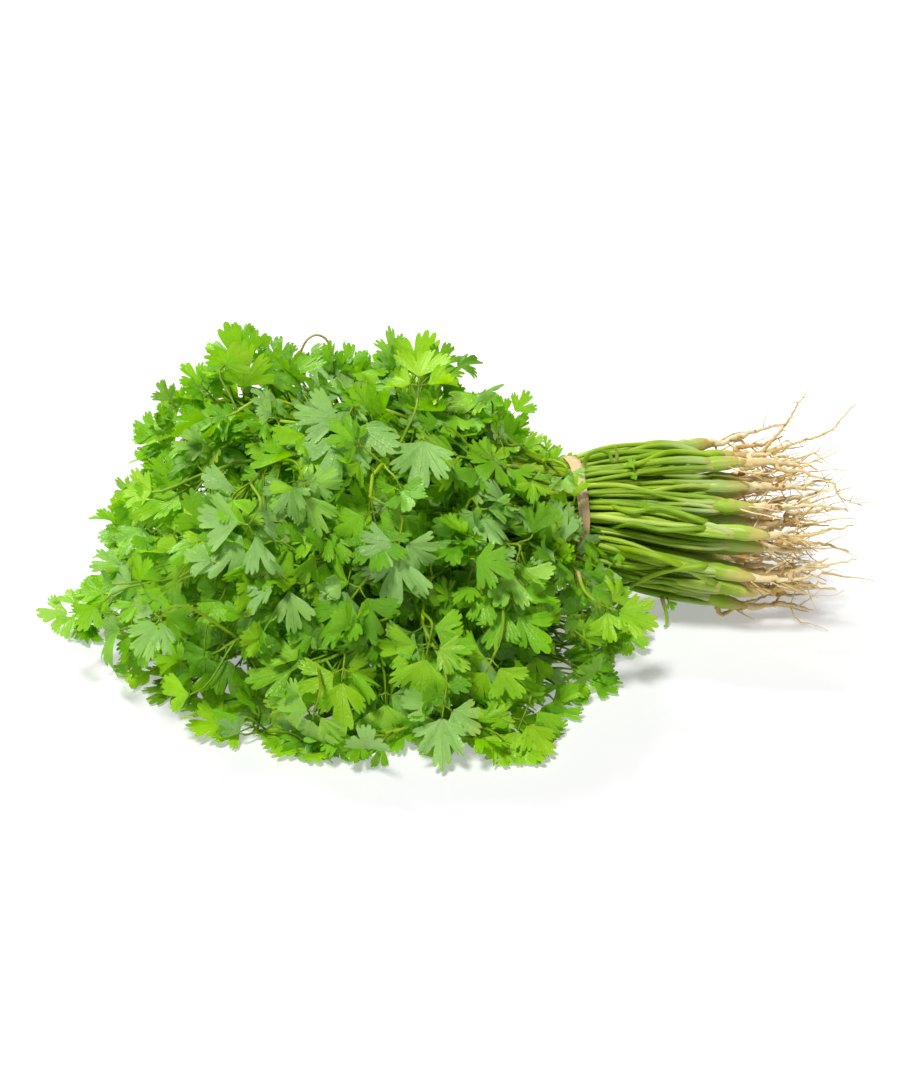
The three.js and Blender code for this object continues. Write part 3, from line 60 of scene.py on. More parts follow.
    ['plant_14', [105.7, 33.7, 39.8], [-0.991, -0.107, 0.082], [[112.2, 34.4, 39.2], [120.8, 35.2, 38.9], [128.9, 34.7, 39.6], [139.2, 32.2, 39.2]], [[[126.7, 33.1, 41.1], [136, 33.2, 43.2], [145.2, 33.2, 45.7]]], [[[105.7, 35.2, 40.8], [77.4, 33.1, 43.3], [49.1, 29.1, 45.5], [[46.1, 29.1, 45.5], [6.6, 41.7, 48.5], [-12.9, 65.8, 67.4], [-42.7, 70.1, 67.3]], [-42.7, 70.1, 67.3], [-0.996, 0.071, -0.059], [0.013, 0.739, 0.673], 35.4, 0], [[106, 32.7, 41.3], [77.5, 30.6, 43.8], [49.1, 26.6, 45.9], [[46.1, 26.6, 45.9], [2.2, 38.1, 49.7], [-20.5, 64.4, 93.5], [-71, 68.4, 80.3]], [-71, 68.4, 80.3], [-0.93, 0.011, -0.368], [-0.225, 0.774, 0.592], 31.6, 0], [[105.8, 32.2, 38.7], [77.5, 30.1, 41.1], [49.1, 26.1, 43.3], [[46.1, 26.1, 43.3], [-9.7, 40.3, 45], [-39.7, 70.6, 70.9], [-70.4, 69.7, 65.3]], [-70.4, 69.7, 65.3], [-0.958, -0.12, -0.259], [-0.27, 0.675, 0.686], 38, 0], [[105.5, 34.8, 38.2], [77.3, 32.7, 40.7], [49.1, 28.7, 42.9], [[46.1, 28.7, 42.9], [20.6, 36.6, 43.4], [-3.6, 47.9, 61.6], [-27.6, 63.4, 60.2]], [-27.6, 63.4, 60.2], [-0.816, 0.566, -0.114], [0.344, 0.636, 0.691], 21, 0]]],
    ['plant_15', [106, -13.9, 47.1], [-0.958, 0.285, 0.036], [[112.2, -15.8, 46.9], [123.5, -17.7, 46.3], [134.1, -19.2, 47.2], [147.6, -19.6, 45.2]], [[[130.8, -16.7, 48.5], [146.3, -13.9, 47.8], [160.8, -9, 44.4]]], [[[105.7, -15.1, 48.5], [77.4, -7.6, 50.1], [49.1, 1.8, 50.6], [[46.1, 1.8, 50.6], [13.4, -7.4, 56.8], [-25.8, -3, 68.7], [-42, -12.7, 74]], [-42, -12.7, 74], [-0.775, -0.571, 0.271], [0.337, -0.01, 0.942], 31.7, 0], [[106.4, -12.6, 48.3], [77.8, -5, 50], [49.1, 4.3, 50.5], [[46.1, 4.3, 50.5], [17.2, -2.3, 55.9], [3.6, 2.6, 54.1], [-27.7, -8.5, 65.2]], [-27.7, -8.5, 65.2], [-0.869, -0.354, 0.346], [0.339, 0.083, 0.937], 29.4, 0], [[106.3, -12.7, 45.7], [77.7, -5.2, 47.2], [49.1, 4.2, 47.9], [[46.1, 4.2, 47.9], [18.9, -2.1, 51.4], [-8.7, -15.1, 67.3], [-51.4, -35.1, 63.6]], [-51.4, -35.1, 63.6], [-0.892, -0.433, -0.133], [0.141, -0.545, 0.827], 26.3, 0], [[105.6, -15.3, 45.9], [77.3, -7.7, 47.3], [49.1, 1.7, 48], [[46.1, 1.7, 48], [21.6, -5.3, 51.3], [16.8, -4.8, 47.7], [-8.2, -11.2, 50.7]], [-8.2, -11.2, 50.7], [-0.959, -0.25, 0.132], [0.213, -0.331, 0.919], 28.7, 0]]],
    ['plant_16', [107.5, 16.3, 16], [-0.978, 0.035, 0.206], [[113.9, 16.1, 14.7], [122.6, 16.6, 13.9], [130.7, 18.2, 13.7], [141.1, 21.8, 13.4]], [[[120.4, 14.3, 16.2], [128.3, 13, 15.9], [136.2, 12, 16.9]], [[128.3, 19.3, 12], [141, 18.1, 8.9], [153, 15.9, 4.3]]], [[[107.1, 16, 14.2], [78.1, 17.3, 19.4], [49.1, 18.1, 26.6], [[46.1, 18.1, 26.6], [3.9, 21.3, 12.2], [-5.4, 20.6, 2.7], [-36.3, 27.1, 1.5]], [-36.3, 27.1, 1.5], [-0.973, 0.23, 0.023], [0.021, -0.014, 1], 38.6, 0], [[107.5, 18.1, 15.7], [78.3, 19.6, 20.9], [49.1, 20.2, 28], [[46.1, 20.2, 28], [25, 22.8, 21.5], [14.4, 15.7, 32.3], [-2.9, 22.1, 20]], [-2.9, 22.1, 20], [-0.694, 0.342, -0.634], [-0.122, 0.812, 0.571], 28.1, 0], [[107.5, 14.5, 16.4], [78.3, 15.8, 21.5], [49.1, 16.6, 28.7], [[46.1, 16.6, 28.7], [6.9, 18.3, 17.2], [-59.4, 11.5, 2.9], [-84, 17.3, 2.8]], [-84, 17.3, 2.8], [-0.959, 0.281, 0.043], [0.032, -0.043, 0.999], 31.7, 0], [[107.9, 16.6, 17.8], [78.5, 18.1, 23], [49.1, 18.7, 30.1], [[46.1, 18.7, 30.1], [15, 21.5, 22], [-29.9, 3.5, 18], [-57.9, 15.9, 13.4]], [-57.9, 15.9, 13.4], [-0.858, 0.494, -0.141], [0.126, 0.469, 0.874], 29, 0]]],
    ['plant_17', [105.7, 21.4, 55.6], [-1, -0.002, -0.011], [[112.2, 21.4, 55.7], [123.9, 20.8, 56.2], [134.9, 21.6, 57.9], [148.8, 18.7, 61.5]], [[[131.5, 19.5, 55.3], [144.2, 19.5, 55.6], [156.6, 20.1, 58.4]]], [[[105.7, 23, 54.7], [77.4, 23.6, 55.3], [49.1, 22.8, 54.1], [[46.1, 22.8, 54.1], [6.3, 30, 64.7], [-32.8, 17.1, 67.6], [-44.1, 33.1, 95.3]], [-44.1, 33.1, 95.3], [-0.157, 0.522, 0.838], [0.001, -0.849, 0.529], 34, 0], [[105.7, 19.8, 56.6], [77.4, 20.2, 57.2], [49.1, 19.6, 56], [[46.1, 19.6, 56], [2.6, 24.5, 69.3], [-9.3, 16.2, 67.3], [-49.7, 23.7, 85.4]], [-49.7, 23.7, 85.4], [-0.882, 0.197, 0.428], [0.47, 0.306, 0.828], 35.2, 0], [[105.7, 20.4, 54], [77.4, 20.9, 54.7], [49.1, 20.3, 53.4], [[46.1, 20.3, 53.4], [11.1, 24.7, 62.3], [-55.2, 26.2, 70.4], [-83.5, 24.7, 75.2]], [-83.5, 24.7, 75.2], [-0.983, -0.072, 0.168], [0.116, 0.468, 0.876], 28.3, 0], [[105.7, 22.3, 57.3], [77.4, 22.8, 57.9], [49.1, 22.2, 56.6], [[46.1, 22.2, 56.6], [26.5, 25.4, 62.9], [-13.1, 29.3, 73.6], [-30.3, 21.9, 81.5]], [-30.3, 21.9, 81.5], [-0.799, -0.448, 0.4], [0.349, 0.195, 0.916], 22.9, 0]]],
    ['plant_18', [105.8, -19.2, 28.1], [-0.935, 0.325, 0.142], [[111.9, -21.3, 27.2], [123.1, -23, 26.5], [133.9, -22.2, 25.4], [147.5, -23.5, 20.9]], [[[119.6, -20.1, 24.9], [126.9, -18.3, 26.1], [134, -16.4, 28.2]], [[130.6, -24.4, 27.6], [139.7, -23.6, 28.2], [148.6, -24.1, 30.5]]], [[[105.2, -20.7, 27.3], [77.1, -11.9, 31.2], [49.1, -1, 35.9], [[46.1, -1, 35.9], [5.5, -15, 30.4], [-26.5, -45.7, 69.6], [-29, -71, 45.5]], [-29, -71, 45.5], [0.104, -0.621, -0.777], [-0.192, -0.779, 0.597], 40, 0], [[105.8, -20.1, 29.8], [77.4, -11.3, 33.8], [49.1, -0.4, 38.3], [[46.1, -0.4, 38.3], [5, -13.9, 35], [-23.8, -48.4, 80.8], [-47.2, -59.8, 62.2]], [-47.2, -59.8, 62.2], [-0.635, -0.279, -0.721], [-0.386, -0.693, 0.608], 38, 0], [[106.5, -17.7, 28.9], [77.8, -8.9, 32.9], [49.1, 2, 37.5], [[46.1, 2, 37.5], [10.8, -7.7, 34.1], [-41.5, -66.8, 38.6], [-68.9, -68.5, 31.4]], [-68.9, -68.5, 31.4], [-0.954, 0.061, -0.293], [-0.203, -0.85, 0.486], 29.4, 0], [[105.9, -18.3, 26.5], [77.5, -9.5, 30.3], [49.1, 1.4, 35.1], [[46.1, 1.4, 35.1], [20.5, -6.1, 31.2], [9, -25.7, 28.9], [-3.1, -29.7, 27.5]], [-3.1, -29.7, 27.5], [-0.962, -0.251, -0.111], [0.105, -0.711, 0.695], 33, 0]]],
    ['plant_19', [106.2, 36.4, 28.2], [-0.982, -0.128, 0.137], [[112.6, 37.3, 27.3], [121.4, 37.3, 26.5], [129.7, 37.6, 25.2], [140.2, 35.6, 25.1]], [[[127.6, 39.2, 27.6], [134.8, 38.1, 27.3], [142, 37.2, 27.7]]], [[[105.8, 37.4, 26.7], [77.5, 34.8, 30.3], [49.1, 30, 34.7], [[46.1, 30, 34.7], [11.1, 41.8, 29.1], [7.4, 75.8, 40.7], [-12.4, 84.9, 34.6]], [-12.4, 84.9, 34.6], [-0.888, 0.32, -0.331], [0.219, 0.926, 0.307], 40.5, 0], [[106.1, 38, 29.3], [77.6, 35.3, 33], [49.1, 30.5, 37.2], [[46.1, 30.5, 37.2], [-9.7, 50, 31.4], [-19.8, 67.5, 47.2], [-48.9, 78.1, 34.9]], [-48.9, 78.1, 34.9], [-0.849, 0.278, -0.449], [0.042, 0.883, 0.468], 30, 0], [[106.5, 35.4, 29.8], [77.8, 32.8, 33.4], [49.1, 28, 37.7], [[46.1, 28, 37.7], [3.2, 40.6, 33.7], [-26.5, 57.7, 58.9], [-62.7, 71.2, 51]], [-62.7, 71.2, 51], [-0.903, 0.33, -0.275], [0.056, 0.725, 0.686], 34.5, 0], [[106.2, 34.9, 27.2], [77.7, 32.2, 30.7], [49.1, 27.5, 35.2], [[46.1, 27.5, 35.2], [32.1, 31.4, 33.1], [4, 42, 23], [-5.7, 47.7, 22.2]], [-5.7, 47.7, 22.2], [-0.846, 0.532, -0.04], [0.488, 0.803, 0.344], 29.3, 0]]],
    ['plant_20', [107.3, -4.5, 57.6], [-0.978, 0.207, -0.021], [[113.7, -5.9, 57.7], [124.7, -7.5, 57.7], [135, -8.6, 57.1], [148.2, -6.8, 53.2]], [[[131.8, -6.3, 55.6], [140.1, -3.8, 54.7], [148.1, -0.7, 53.3]]], [[[107.6, -3, 58.5], [78.4, 2.7, 58.9], [49.1, 9.3, 57.2], [[46.1, 9.3, 57.2], [19.1, 6.2, 66.3], [-33.7, 9.7, 64.6], [-52.5, 2.8, 70.7]], [-52.5, 2.8, 70.7], [-0.863, -0.386, 0.324], [0.45, -0.301, 0.841], 31, 0], [[107, -6.1, 56.7], [78, -0.6, 57], [49.1, 6.2, 55.4], [[46.1, 6.2, 55.4], [29.1, 3, 60.5], [16.9, -7.6, 75.6], [1.9, -15.7, 84.5]], [1.9, -15.7, 84.5], [-0.78, -0.432, 0.453], [0.554, -0.138, 0.821], 34.5, 0], [[107.5, -3.7, 56], [78.3, 1.9, 56.4], [49.1, 8.6, 54.7], [[46.1, 8.6, 54.7], [-14.3, 0.7, 71.7], [-44.5, -3.3, 57.5], [-76.1, -3.3, 69.9]], [-76.1, -3.3, 69.9], [-0.906, 0.025, 0.423], [0.422, 0.144, 0.895], 26.9, 0]]],
    ['plant_21', [106.3, -0.4, 12.9], [-0.959, 0.172, 0.226], [[112.5, -1.5, 11.5], [122.6, -2.2, 10.2], [132.2, -2.4, 8.1], [144.3, 0.3, 7.8]], [[[119.8, 0, 12.8], [134.2, -1.5, 10.9], [147.8, -5.4, 6.7]], [[129.1, -4.1, 7.2], [136.5, -6.4, 5.8], [144.4, -7.2, 5.5]]], [[[105.8, -1.1, 11.3], [77.4, 3.6, 16.9], [49.1, 9.2, 24.8], [[46.1, 9.2, 24.8], [22.2, 6.3, 15.7], [11.4, -7.7, 4.3], [-6.7, -10.8, 4]], [-6.7, -10.8, 4], [-0.99, -0.122, 0.067], [0.057, 0.088, 0.995], 38.3, 0], [[106.4, 1.3, 12.2], [77.7, 6.1, 17.8], [49.1, 11.5, 25.7], [[46.1, 11.5, 25.7], [4.6, 8.7, 10.8], [-26.2, 2.5, 30.1], [-50.8, -4.6, 17.7]], [-50.8, -4.6, 17.7], [-0.816, -0.264, -0.514], [-0.069, -0.839, 0.54], 27.5, 0], [[106.1, -2.1, 13.7], [77.6, 2.5, 19.3], [49.1, 8.2, 27.1], [[46.1, 8.2, 27.1], [20.9, 4.6, 18.9], [0, -27.7, 4.1], [-27.3, -41.6, 4.7]], [-27.3, -41.6, 4.7], [-0.902, -0.423, 0.083], [0.063, 0.062, 0.996], 29.9, 0], [[106.8, 0.3, 14.6], [77.9, 5, 20.2], [49.1, 10.5, 28], [[46.1, 10.5, 28], [29.4, 9, 22.9], [22.8, -3.2, 19], [2.8, -11.8, 16.1]], [2.8, -11.8, 16.1], [-0.92, -0.378, -0.107], [0.281, -0.824, 0.491], 20, 0]]],
    ['plant_22', [102.8, 36.1, 49.4], [-0.991, -0.131, 0.019], [[109.3, 36.9, 49.3], [120.1, 38.3, 49.1], [130.4, 39.6, 47.9], [143.3, 43, 42.2]], [[[127.5, 37.3, 50.2], [138, 36, 53], [148.5, 36, 56.1]]], [[[102.6, 37.6, 50.5], [75.9, 35.1, 51.6], [49.1, 30.5, 51.5], [[46.1, 30.5, 51.5], [33.2, 35, 54.2], [14.5, 48.3, 72.2], [2.4, 54.3, 76.9]], [2.4, 54.3, 76.9], [-0.861, 0.414, 0.297], [0.487, 0.497, 0.719], 31.5, 0], [[103, 35, 51], [76, 32.5, 52.1], [49.1, 28, 52], [[46.1, 28, 52], [11, 38.2, 59.7], [-9.2, 45.6, 63.9], [-22.5, 48.1, 71.2]], [-22.5, 48.1, 71.2], [-0.843, 0.133, 0.52], [0.537, 0.18, 0.824], 33.9, 0], [[103, 34.5, 48.4], [76, 32.1, 49.5], [49.1, 27.5, 49.5], [[46.1, 27.5, 49.5], [17.1, 35.7, 54.2], [-43.3, 46.1, 70.7], [-64.4, 46, 73.1]], [-64.4, 46, 73.1], [-0.995, -0.047, 0.087], [0.061, 0.402, 0.914], 30.7, 0]]],
    ['plant_23', [108, -23.9, 41.3], [-0.936, 0.347, 0.067], [[114, -26.2, 40.9], [121.5, -28.1, 40.2], [128.7, -30.3, 39.4], [137.7, -31.6, 39]], [[[127.4, -27.7, 41.4], [142.2, -26.8, 44.7], [157, -23.6, 44.7]]], [[[108.6, -22.2, 41.2], [78.8, -12.5, 43.6], [49.1, -0.4, 45.5], [[46.1, -0.4, 45.5], [1.2, -15.2, 48.9], [-41, -24.8, 118.3], [-45, -49.8, 90]], [-45, -49.8, 90], [0.098, -0.541, -0.836], [-0.179, -0.835, 0.52], 43, 0], [[107.3, -25.7, 41.4], [78.2, -16, 43.7], [49.1, -3.8, 45.6], [[46.1, -3.8, 45.6], [20.8, -14.1, 47.6], [26.5, -39.4, 55.3], [4.9, -48.7, 63.3]], [4.9, -48.7, 63.3], [-0.903, -0.283, 0.322], [0.427, -0.517, 0.742], 34.3, 0], [[108.1, -23.9, 43.2], [78.6, -14.2, 45.6], [49.1, -2.1, 47.4], [[46.1, -2.1, 47.4], [1.2, -18.5, 52.6], [-7.2, -25.7, 73], [-29.4, -33.8, 76.7]], [-29.4, -33.8, 76.7], [-0.938, -0.328, 0.112], [0.281, -0.531, 0.8], 32.9, 0], [[107.8, -23.9, 39.5], [78.5, -14.3, 41.7], [49.1, -2.1, 43.7], [[46.1, -2.1, 43.7], [24.1, -10.2, 44.5], [28.1, -18.2, 36.4], [12.7, -30.5, 40.3]], [12.7, -30.5, 40.3], [-0.761, -0.595, 0.26], [0.604, -0.502, 0.619], 33, 0]]],
    ['plant_24', [104.2, 28.1, 15.5], [-0.974, -0.058, 0.217], [[110.5, 28.4, 14.1], [119.8, 28.6, 12.6], [128.6, 28.5, 12.6], [139.8, 27.3, 15.4]], [[[117.3, 26.5, 15.3], [126.3, 25, 14.9], [135.4, 24.7, 13.9]], [[126.2, 30.3, 10.8], [135.9, 30.6, 12.1], [145.6, 31.8, 12]]], [[[104.6, 28, 17.4], [76.8, 27.3, 22.5], [49.1, 24.7, 29.6], [[46.1, 24.7, 29.6], [9.7, 32.9, 19.7], [-18.3, 39.7, 2.5], [-29, 69, 0.3]], [-29, 69, 0.3], [-0.196, 0.981, 0], [0, 0, 1], 40, 1], [[103.8, 28.1, 13.7], [76.4, 27.2, 18.8], [49.1, 24.8, 26], [[46.1, 24.8, 26], [28.9, 28.6, 20], [28.3, 44, 3.3], [16.6, 48.7, 2.7]], [16.6, 48.7, 2.7], [-0.948, 0.313, 0.065], [0.074, 0.016, 0.997], 30.8, 0], [[104.1, 29.9, 15.6], [76.6, 29.2, 20.8], [49.1, 26.6, 27.9], [[46.1, 26.6, 27.9], [17.3, 34.2, 18.9], [20.8, 59.3, 23.3], [12.3, 66.9, 19.6]], [12.3, 66.9, 19.6], [-0.724, 0.6, -0.34], [0.388, 0.763, 0.517], 28.6, 0], [[104.3, 26.2, 15.5], [76.7, 25.3, 20.6], [49.1, 22.9, 27.8], [[46.1, 22.9, 27.8], [27.1, 26.4, 21.8], [7.4, 30.8, 5.4], [-27.9, 42.9, 6.3]], [-27.9, 42.9, 6.3], [-0.935, 0.341, 0.097], [0.09, -0.035, 0.995], 30.8, 0]]],
    ['plant_25', [104.8, 13.3, 62.8], [-0.997, 0.063, -0.055], [[111.3, 12.8, 63.1], [121.6, 12.5, 62.8], [131.2, 12.5, 63], [143.4, 11, 60.2]], [[[118.5, 14.7, 65], [128.5, 14.4, 66], [138.1, 14.8, 68.9]], [[128.3, 10.8, 61.1], [141.1, 7.9, 60], [154.3, 6.6, 59.4]]], [[[104.7, 12.1, 64.2], [76.9, 14, 64], [49.1, 15.6, 61.1], [[46.1, 15.6, 61.1], [20.7, 16.1, 71.8], [16.6, 14.4, 88.7], [8.1, 12.4, 91.5]], [8.1, 12.4, 91.5], [-0.941, -0.254, 0.222], [0.238, -0.032, 0.971], 38.6, 0], [[105, 14.4, 61.3], [77, 16.5, 61.1], [49.1, 17.9, 58.3], [[46.1, 17.9, 58.3], [2.9, 21.1, 73.7], [-17.7, 17.8, 91.1], [-35.7, 16.4, 97.5]], [-35.7, 16.4, 97.5], [-0.947, -0.085, 0.309], [0.32, -0.193, 0.927], 32.4, 0], [[104.8, 11.8, 61.6], [76.9, 13.7, 61.4], [49.1, 15.3, 58.5], [[46.1, 15.3, 58.5], [18.8, 15.8, 68.4], [0.4, 15.6, 74.1], [-13.2, 18.2, 80.3]], [-13.2, 18.2, 80.3], [-0.883, 0.199, 0.424], [0.448, 0.095, 0.889], 32.2, 0]]],
    ['plant_26', [107.2, -18, 18.5], [-0.935, 0.302, 0.188], [[113.2, -19.9, 17.3], [121.3, -20.8, 16.6], [128.9, -19.9, 16], [138.7, -22.1, 19.1]], [[[119.2, -18.3, 15], [131.7, -16, 17.4], [144.4, -13.9, 17.8]], [[127.1, -22.2, 17.9], [136.6, -24.7, 19.8], [145.6, -28.1, 22]]], [[[106.8, -18.1, 16.7], [77.9, -9.8, 21.7], [49.1, 0.7, 28.4], [[46.1, 0.7, 28.4], [11, -10.1, 17.9], [-6.5, -39.3, 2.4], [-3.8, -70, 0.3]], [-3.8, -70, 0.3], [0.243, -0.97, 0], [0, 0, 1], 40, 1], [[106.6, -19.7, 18.8], [77.9, -11.5, 23.8], [49.1, -0.9, 30.4], [[46.1, -0.9, 30.4], [26.6, -7.6, 25.4], [26.4, -28.1, 2.6], [37.8, -40.8, 0.3]], [37.8, -40.8, 0.3], [0.781, -0.625, 0], [0, 0, 1], 34, 1]]],
    ['plant_27', [104.3, 45, 35.7], [-0.973, -0.208, 0.1], [[110.6, 46.3, 35.1], [120.4, 47.3, 34.6], [129.6, 46.7, 33.5], [141.3, 48.6, 37.8]], [[[117.5, 44.8, 32.8], [127.2, 43.5, 32.4], [136.9, 42.2, 30.8]], [[127, 48.7, 35.7], [135, 50.1, 36.1], [143.2, 50.3, 35.8]]], [[[103.9, 46.8, 35.8], [76.5, 42.2, 38.6], [49.1, 34.9, 41.4], [[46.1, 34.9, 41.4], [28.8, 42.7, 41.2], [18.5, 46.8, 49.9], [10.8, 55.9, 49.7]], [10.8, 55.9, 49.7], [-0.58, 0.812, -0.066], [0.592, 0.476, 0.65], 29.8, 0], [[104.1, 45, 33.9], [76.6, 40.4, 36.6], [49.1, 33.1, 39.6], [[46.1, 33.1, 39.6], [15, 45.8, 37.9], [0.9, 64.6, 51.8], [-12.1, 69.7, 48.3]], [-12.1, 69.7, 48.3], [-0.896, 0.302, -0.325], [0.039, 0.784, 0.62], 35.9, 0], [[104.5, 44.9, 37.6], [76.8, 40.4, 40.5], [49.1, 33.1, 43.2], [[46.1, 33.1, 43.2], [9.4, 48.1, 44.2], [8, 51.4, 70.3], [-10.5, 64.9, 71]], [-10.5, 64.9, 71], [-0.79, 0.611, -0.059], [0.34, 0.516, 0.787], 30.2, 0], [[104.7, 43.1, 35.7], [76.9, 38.6, 38.5], [49.1, 31.3, 41.3], [[46.1, 31.3, 41.3], [17.2, 42, 40.9], [14.6, 25.9, 50.6], [-7.1, 38.4, 48.9]], [-7.1, 38.4, 48.9], [-0.811, 0.574, -0.116], [0.328, 0.61, 0.721], 27.1, 0]]],
    ['plant_28', [104.2, -18, 55.9], [-0.945, 0.328, -0.012], [[110.3, -20.2, 56], [119.3, -21.2, 55.9], [127.9, -21.5, 55.4], [138.7, -23.3, 57.6]], [[[125.6, -19.6, 53.9], [140.6, -20.1, 54], [155.3, -20, 50.7]]], [[[104.4, -17.5, 57.7], [76.7, -8.9, 58.3], [49.1, 1.6, 57], [[46.1, 1.6, 57], [23.7, -4.7, 64.3], [14.8, -6, 67.3], [2.4, -13.9, 75.8]], [2.4, -13.9, 75.8], [-0.688, -0.5, 0.526], [0.662, -0.135, 0.737], 34.8, 0], [[104, -18.6, 54.1], [76.6, -10.1, 54.6], [49.1, 0.6, 53.5], [[46.1, 0.6, 53.5], [24.4, -6.1, 58.9], [26.9, -16.2, 60.4], [17, -28, 68.5]], [17, -28, 68.5], [-0.542, -0.678, 0.497], [0.588, 0.117, 0.801], 31.8, 0], [[104.8, -16.4, 55.3], [76.9, -7.9, 55.9], [49.1, 2.8, 54.6], [[46.1, 2.8, 54.6], [16, -5.1, 63], [13, -5, 57.6], [-6.2, -20.5, 63]], [-6.2, -20.5, 63], [-0.717, -0.659, 0.225], [0.41, -0.138, 0.901], 26.8, 0]]],
    ['plant_29', [106.6, 10.6, 8], [-0.965, 0.085, 0.249], [[112.9, 10.1, 6.3], [121.6, 9.5, 4.5], [129.9, 8.8, 3.6], [140.3, 6.6, 1.5]], [[[119.6, 11.6, 7.3], [129.7, 10.6, 6.9], [139.7, 11.3, 5.5]], [[127.4, 7.3, 2.2], [139, 3.8, 3.2], [150.6, 1.9, 6.2]]], [[[106.4, 11.9, 6.7], [77.7, 14.6, 12.7], [49.1, 17, 21.5], [[46.1, 17, 21.5], [33.1, 17.6, 15.7], [31.3, -1.5, 3.9], [25.4, 4.1, 3.5]], [25.4, 4.1, 3.5], [-0.574, 0.813, 0.1], [0.06, -0.08, 0.995], 33, 0], [[106.8, 9.3, 9.2], [78, 11.8, 15.2], [49.1, 14.4, 24.1], [[46.1, 14.4, 24.1], [20.2, 14.2, 13.9], [9.3, 25.8, 5.6], [-15.5, 15.8, 6.2]], [-15.5, 15.8, 6.2], [-0.881, -0.463, 0.096], [0.065, 0.082, 0.995], 37, 0]]],
    ['plant_30', [103, 32.5, 59.1], [-0.994, -0.102, -0.036], [[109.5, 33.2, 59.3], [117.4, 34, 59.2], [124.9, 35.1, 59], [134.3, 32.8, 55.2]], [[[123.2, 32.8, 60.8], [135.9, 35.8, 62.9], [148.9, 36.3, 64.4]]], [[[103.2, 31.1, 57.9], [76.1, 29.4, 57.9], [49.1, 25.6, 55.9], [[46.1, 25.6, 55.9], [18.3, 32.4, 64.4], [-18.2, 41.3, 60.7], [-16.7, 42.6, 84.8]], [-16.7, 42.6, 84.8], [0.287, 0, 0.958], [-0.116, -0.993, 0.035], 40, 0], [[102.8, 33.9, 60.3], [76, 32.2, 60.4], [49.1, 28.4, 58.3], [[46.1, 28.4, 58.3], [33.5, 32.2, 62.8], [9.5, 36.7, 58.4], [15.8, 38, 67.7]], [15.8, 38, 67.7], [0.733, 0.034, 0.679], [-0.384, -0.804, 0.455], 33, 0], [[103.1, 31.3, 60.5], [76.1, 29.5, 60.6], [49.1, 25.8, 58.5], [[46.1, 25.8, 58.5], [25.1, 31, 66.1], [20.6, 19.9, 72.4], [9.2, 24, 77]], [9.2, 24, 77], [-0.859, 0.393, 0.329], [0.402, 0.12, 0.908], 30.1, 0]]],
    ['plant_31', [101.7, -29.7, 32.4], [-0.9, 0.421, 0.116], [[107.5, -32.4, 31.7], [120.2, -35.6, 30.1], [132.5, -36.3, 29.4], [148, -35.2, 32.4]], [[[128.4, -34.3, 31.6], [141.9, -35.2, 33.5], [155.5, -35.3, 35.7]]], [[[101, -31.3, 33.2], [75.1, -20.4, 36.4], [49.1, -6.6, 39.9], [[46.1, -6.6, 39.9], [33.3, -12.6, 39.4], [32.4, -31.6, 49.6], [38.5, -39.3, 43.7]], [38.5, -39.3, 43.7], [0.64, -0.492, -0.59], [0.092, -0.713, 0.695], 33, 0], [[101.2, -30.3, 30.7], [75.1, -19.4, 33.9], [49.1, -5.7, 37.5], [[46.1, -5.7, 37.5], [17, -18.7, 34.7], [-3.5, -47.7, 71.6], [3.2, -66.2, 54.7]], [3.2, -66.2, 54.7], [0.41, -0.545, -0.732], [-0.012, -0.806, 0.592], 38, 0]]],
    ['plant_32', [107.4, 40.7, 19.6], [-0.971, -0.156, 0.183], [[113.7, 41.7, 18.4], [122.1, 42.1, 17.9], [130.1, 42.4, 18.9], [140.2, 38.7, 20.9]], [[[119.9, 40, 20.2], [126.6, 39.9, 21.4], [133.3, 39, 21.3]], [[128.2, 44, 16.7], [142.5, 47.2, 15.9], [156.9, 50.6, 16.1]]], [[[107.2, 40, 17.9], [78.1, 36.5, 22.6], [49.1, 30.6, 28.9], [[46.1, 30.6, 28.9], [27.8, 37, 23.7], [17.7, 44.6, 2.5], [21.8, 60.2, 0.3]], [21.8, 60.2, 0.3], [0.406, 0.914, 0], [0, 0, 1], 36, 1], [[107, 42.4, 18.9], [78, 39, 23.7], [49.1, 33, 29.9], [[46.1, 33, 29.9], [40.1, 35.4, 28.4], [43.6, 44.4, 35.3], [41.3, 52.2, 30.7]], [41.3, 52.2, 30.7], [-0.238, 0.764, -0.599], [0.414, 0.638, 0.649], 38.1, 0], [[107.6, 41.4, 21.3], [78.3, 38, 26.1], [49.1, 32, 32.3], [[46.1, 32, 32.3], [20.2, 41.9, 26.7], [24, 75.2, 54.4], [3.3, 88.7, 34.7]], [3.3, 88.7, 34.7], [-0.611, 0.297, -0.734], [0.07, 0.943, 0.324], 34.3, 0], [[107.8, 39, 20.3], [78.4, 35.6, 25], [49.1, 29.6, 31.3], [[46.1, 29.6, 31.3], [32.7, 34, 28.1], [35.9, 41.6, 28.5], [30.5, 49.8, 26.8]], [30.5, 49.8, 26.8], [-0.527, 0.831, -0.176], [0.719, 0.547, 0.429], 29.3, 0]]],
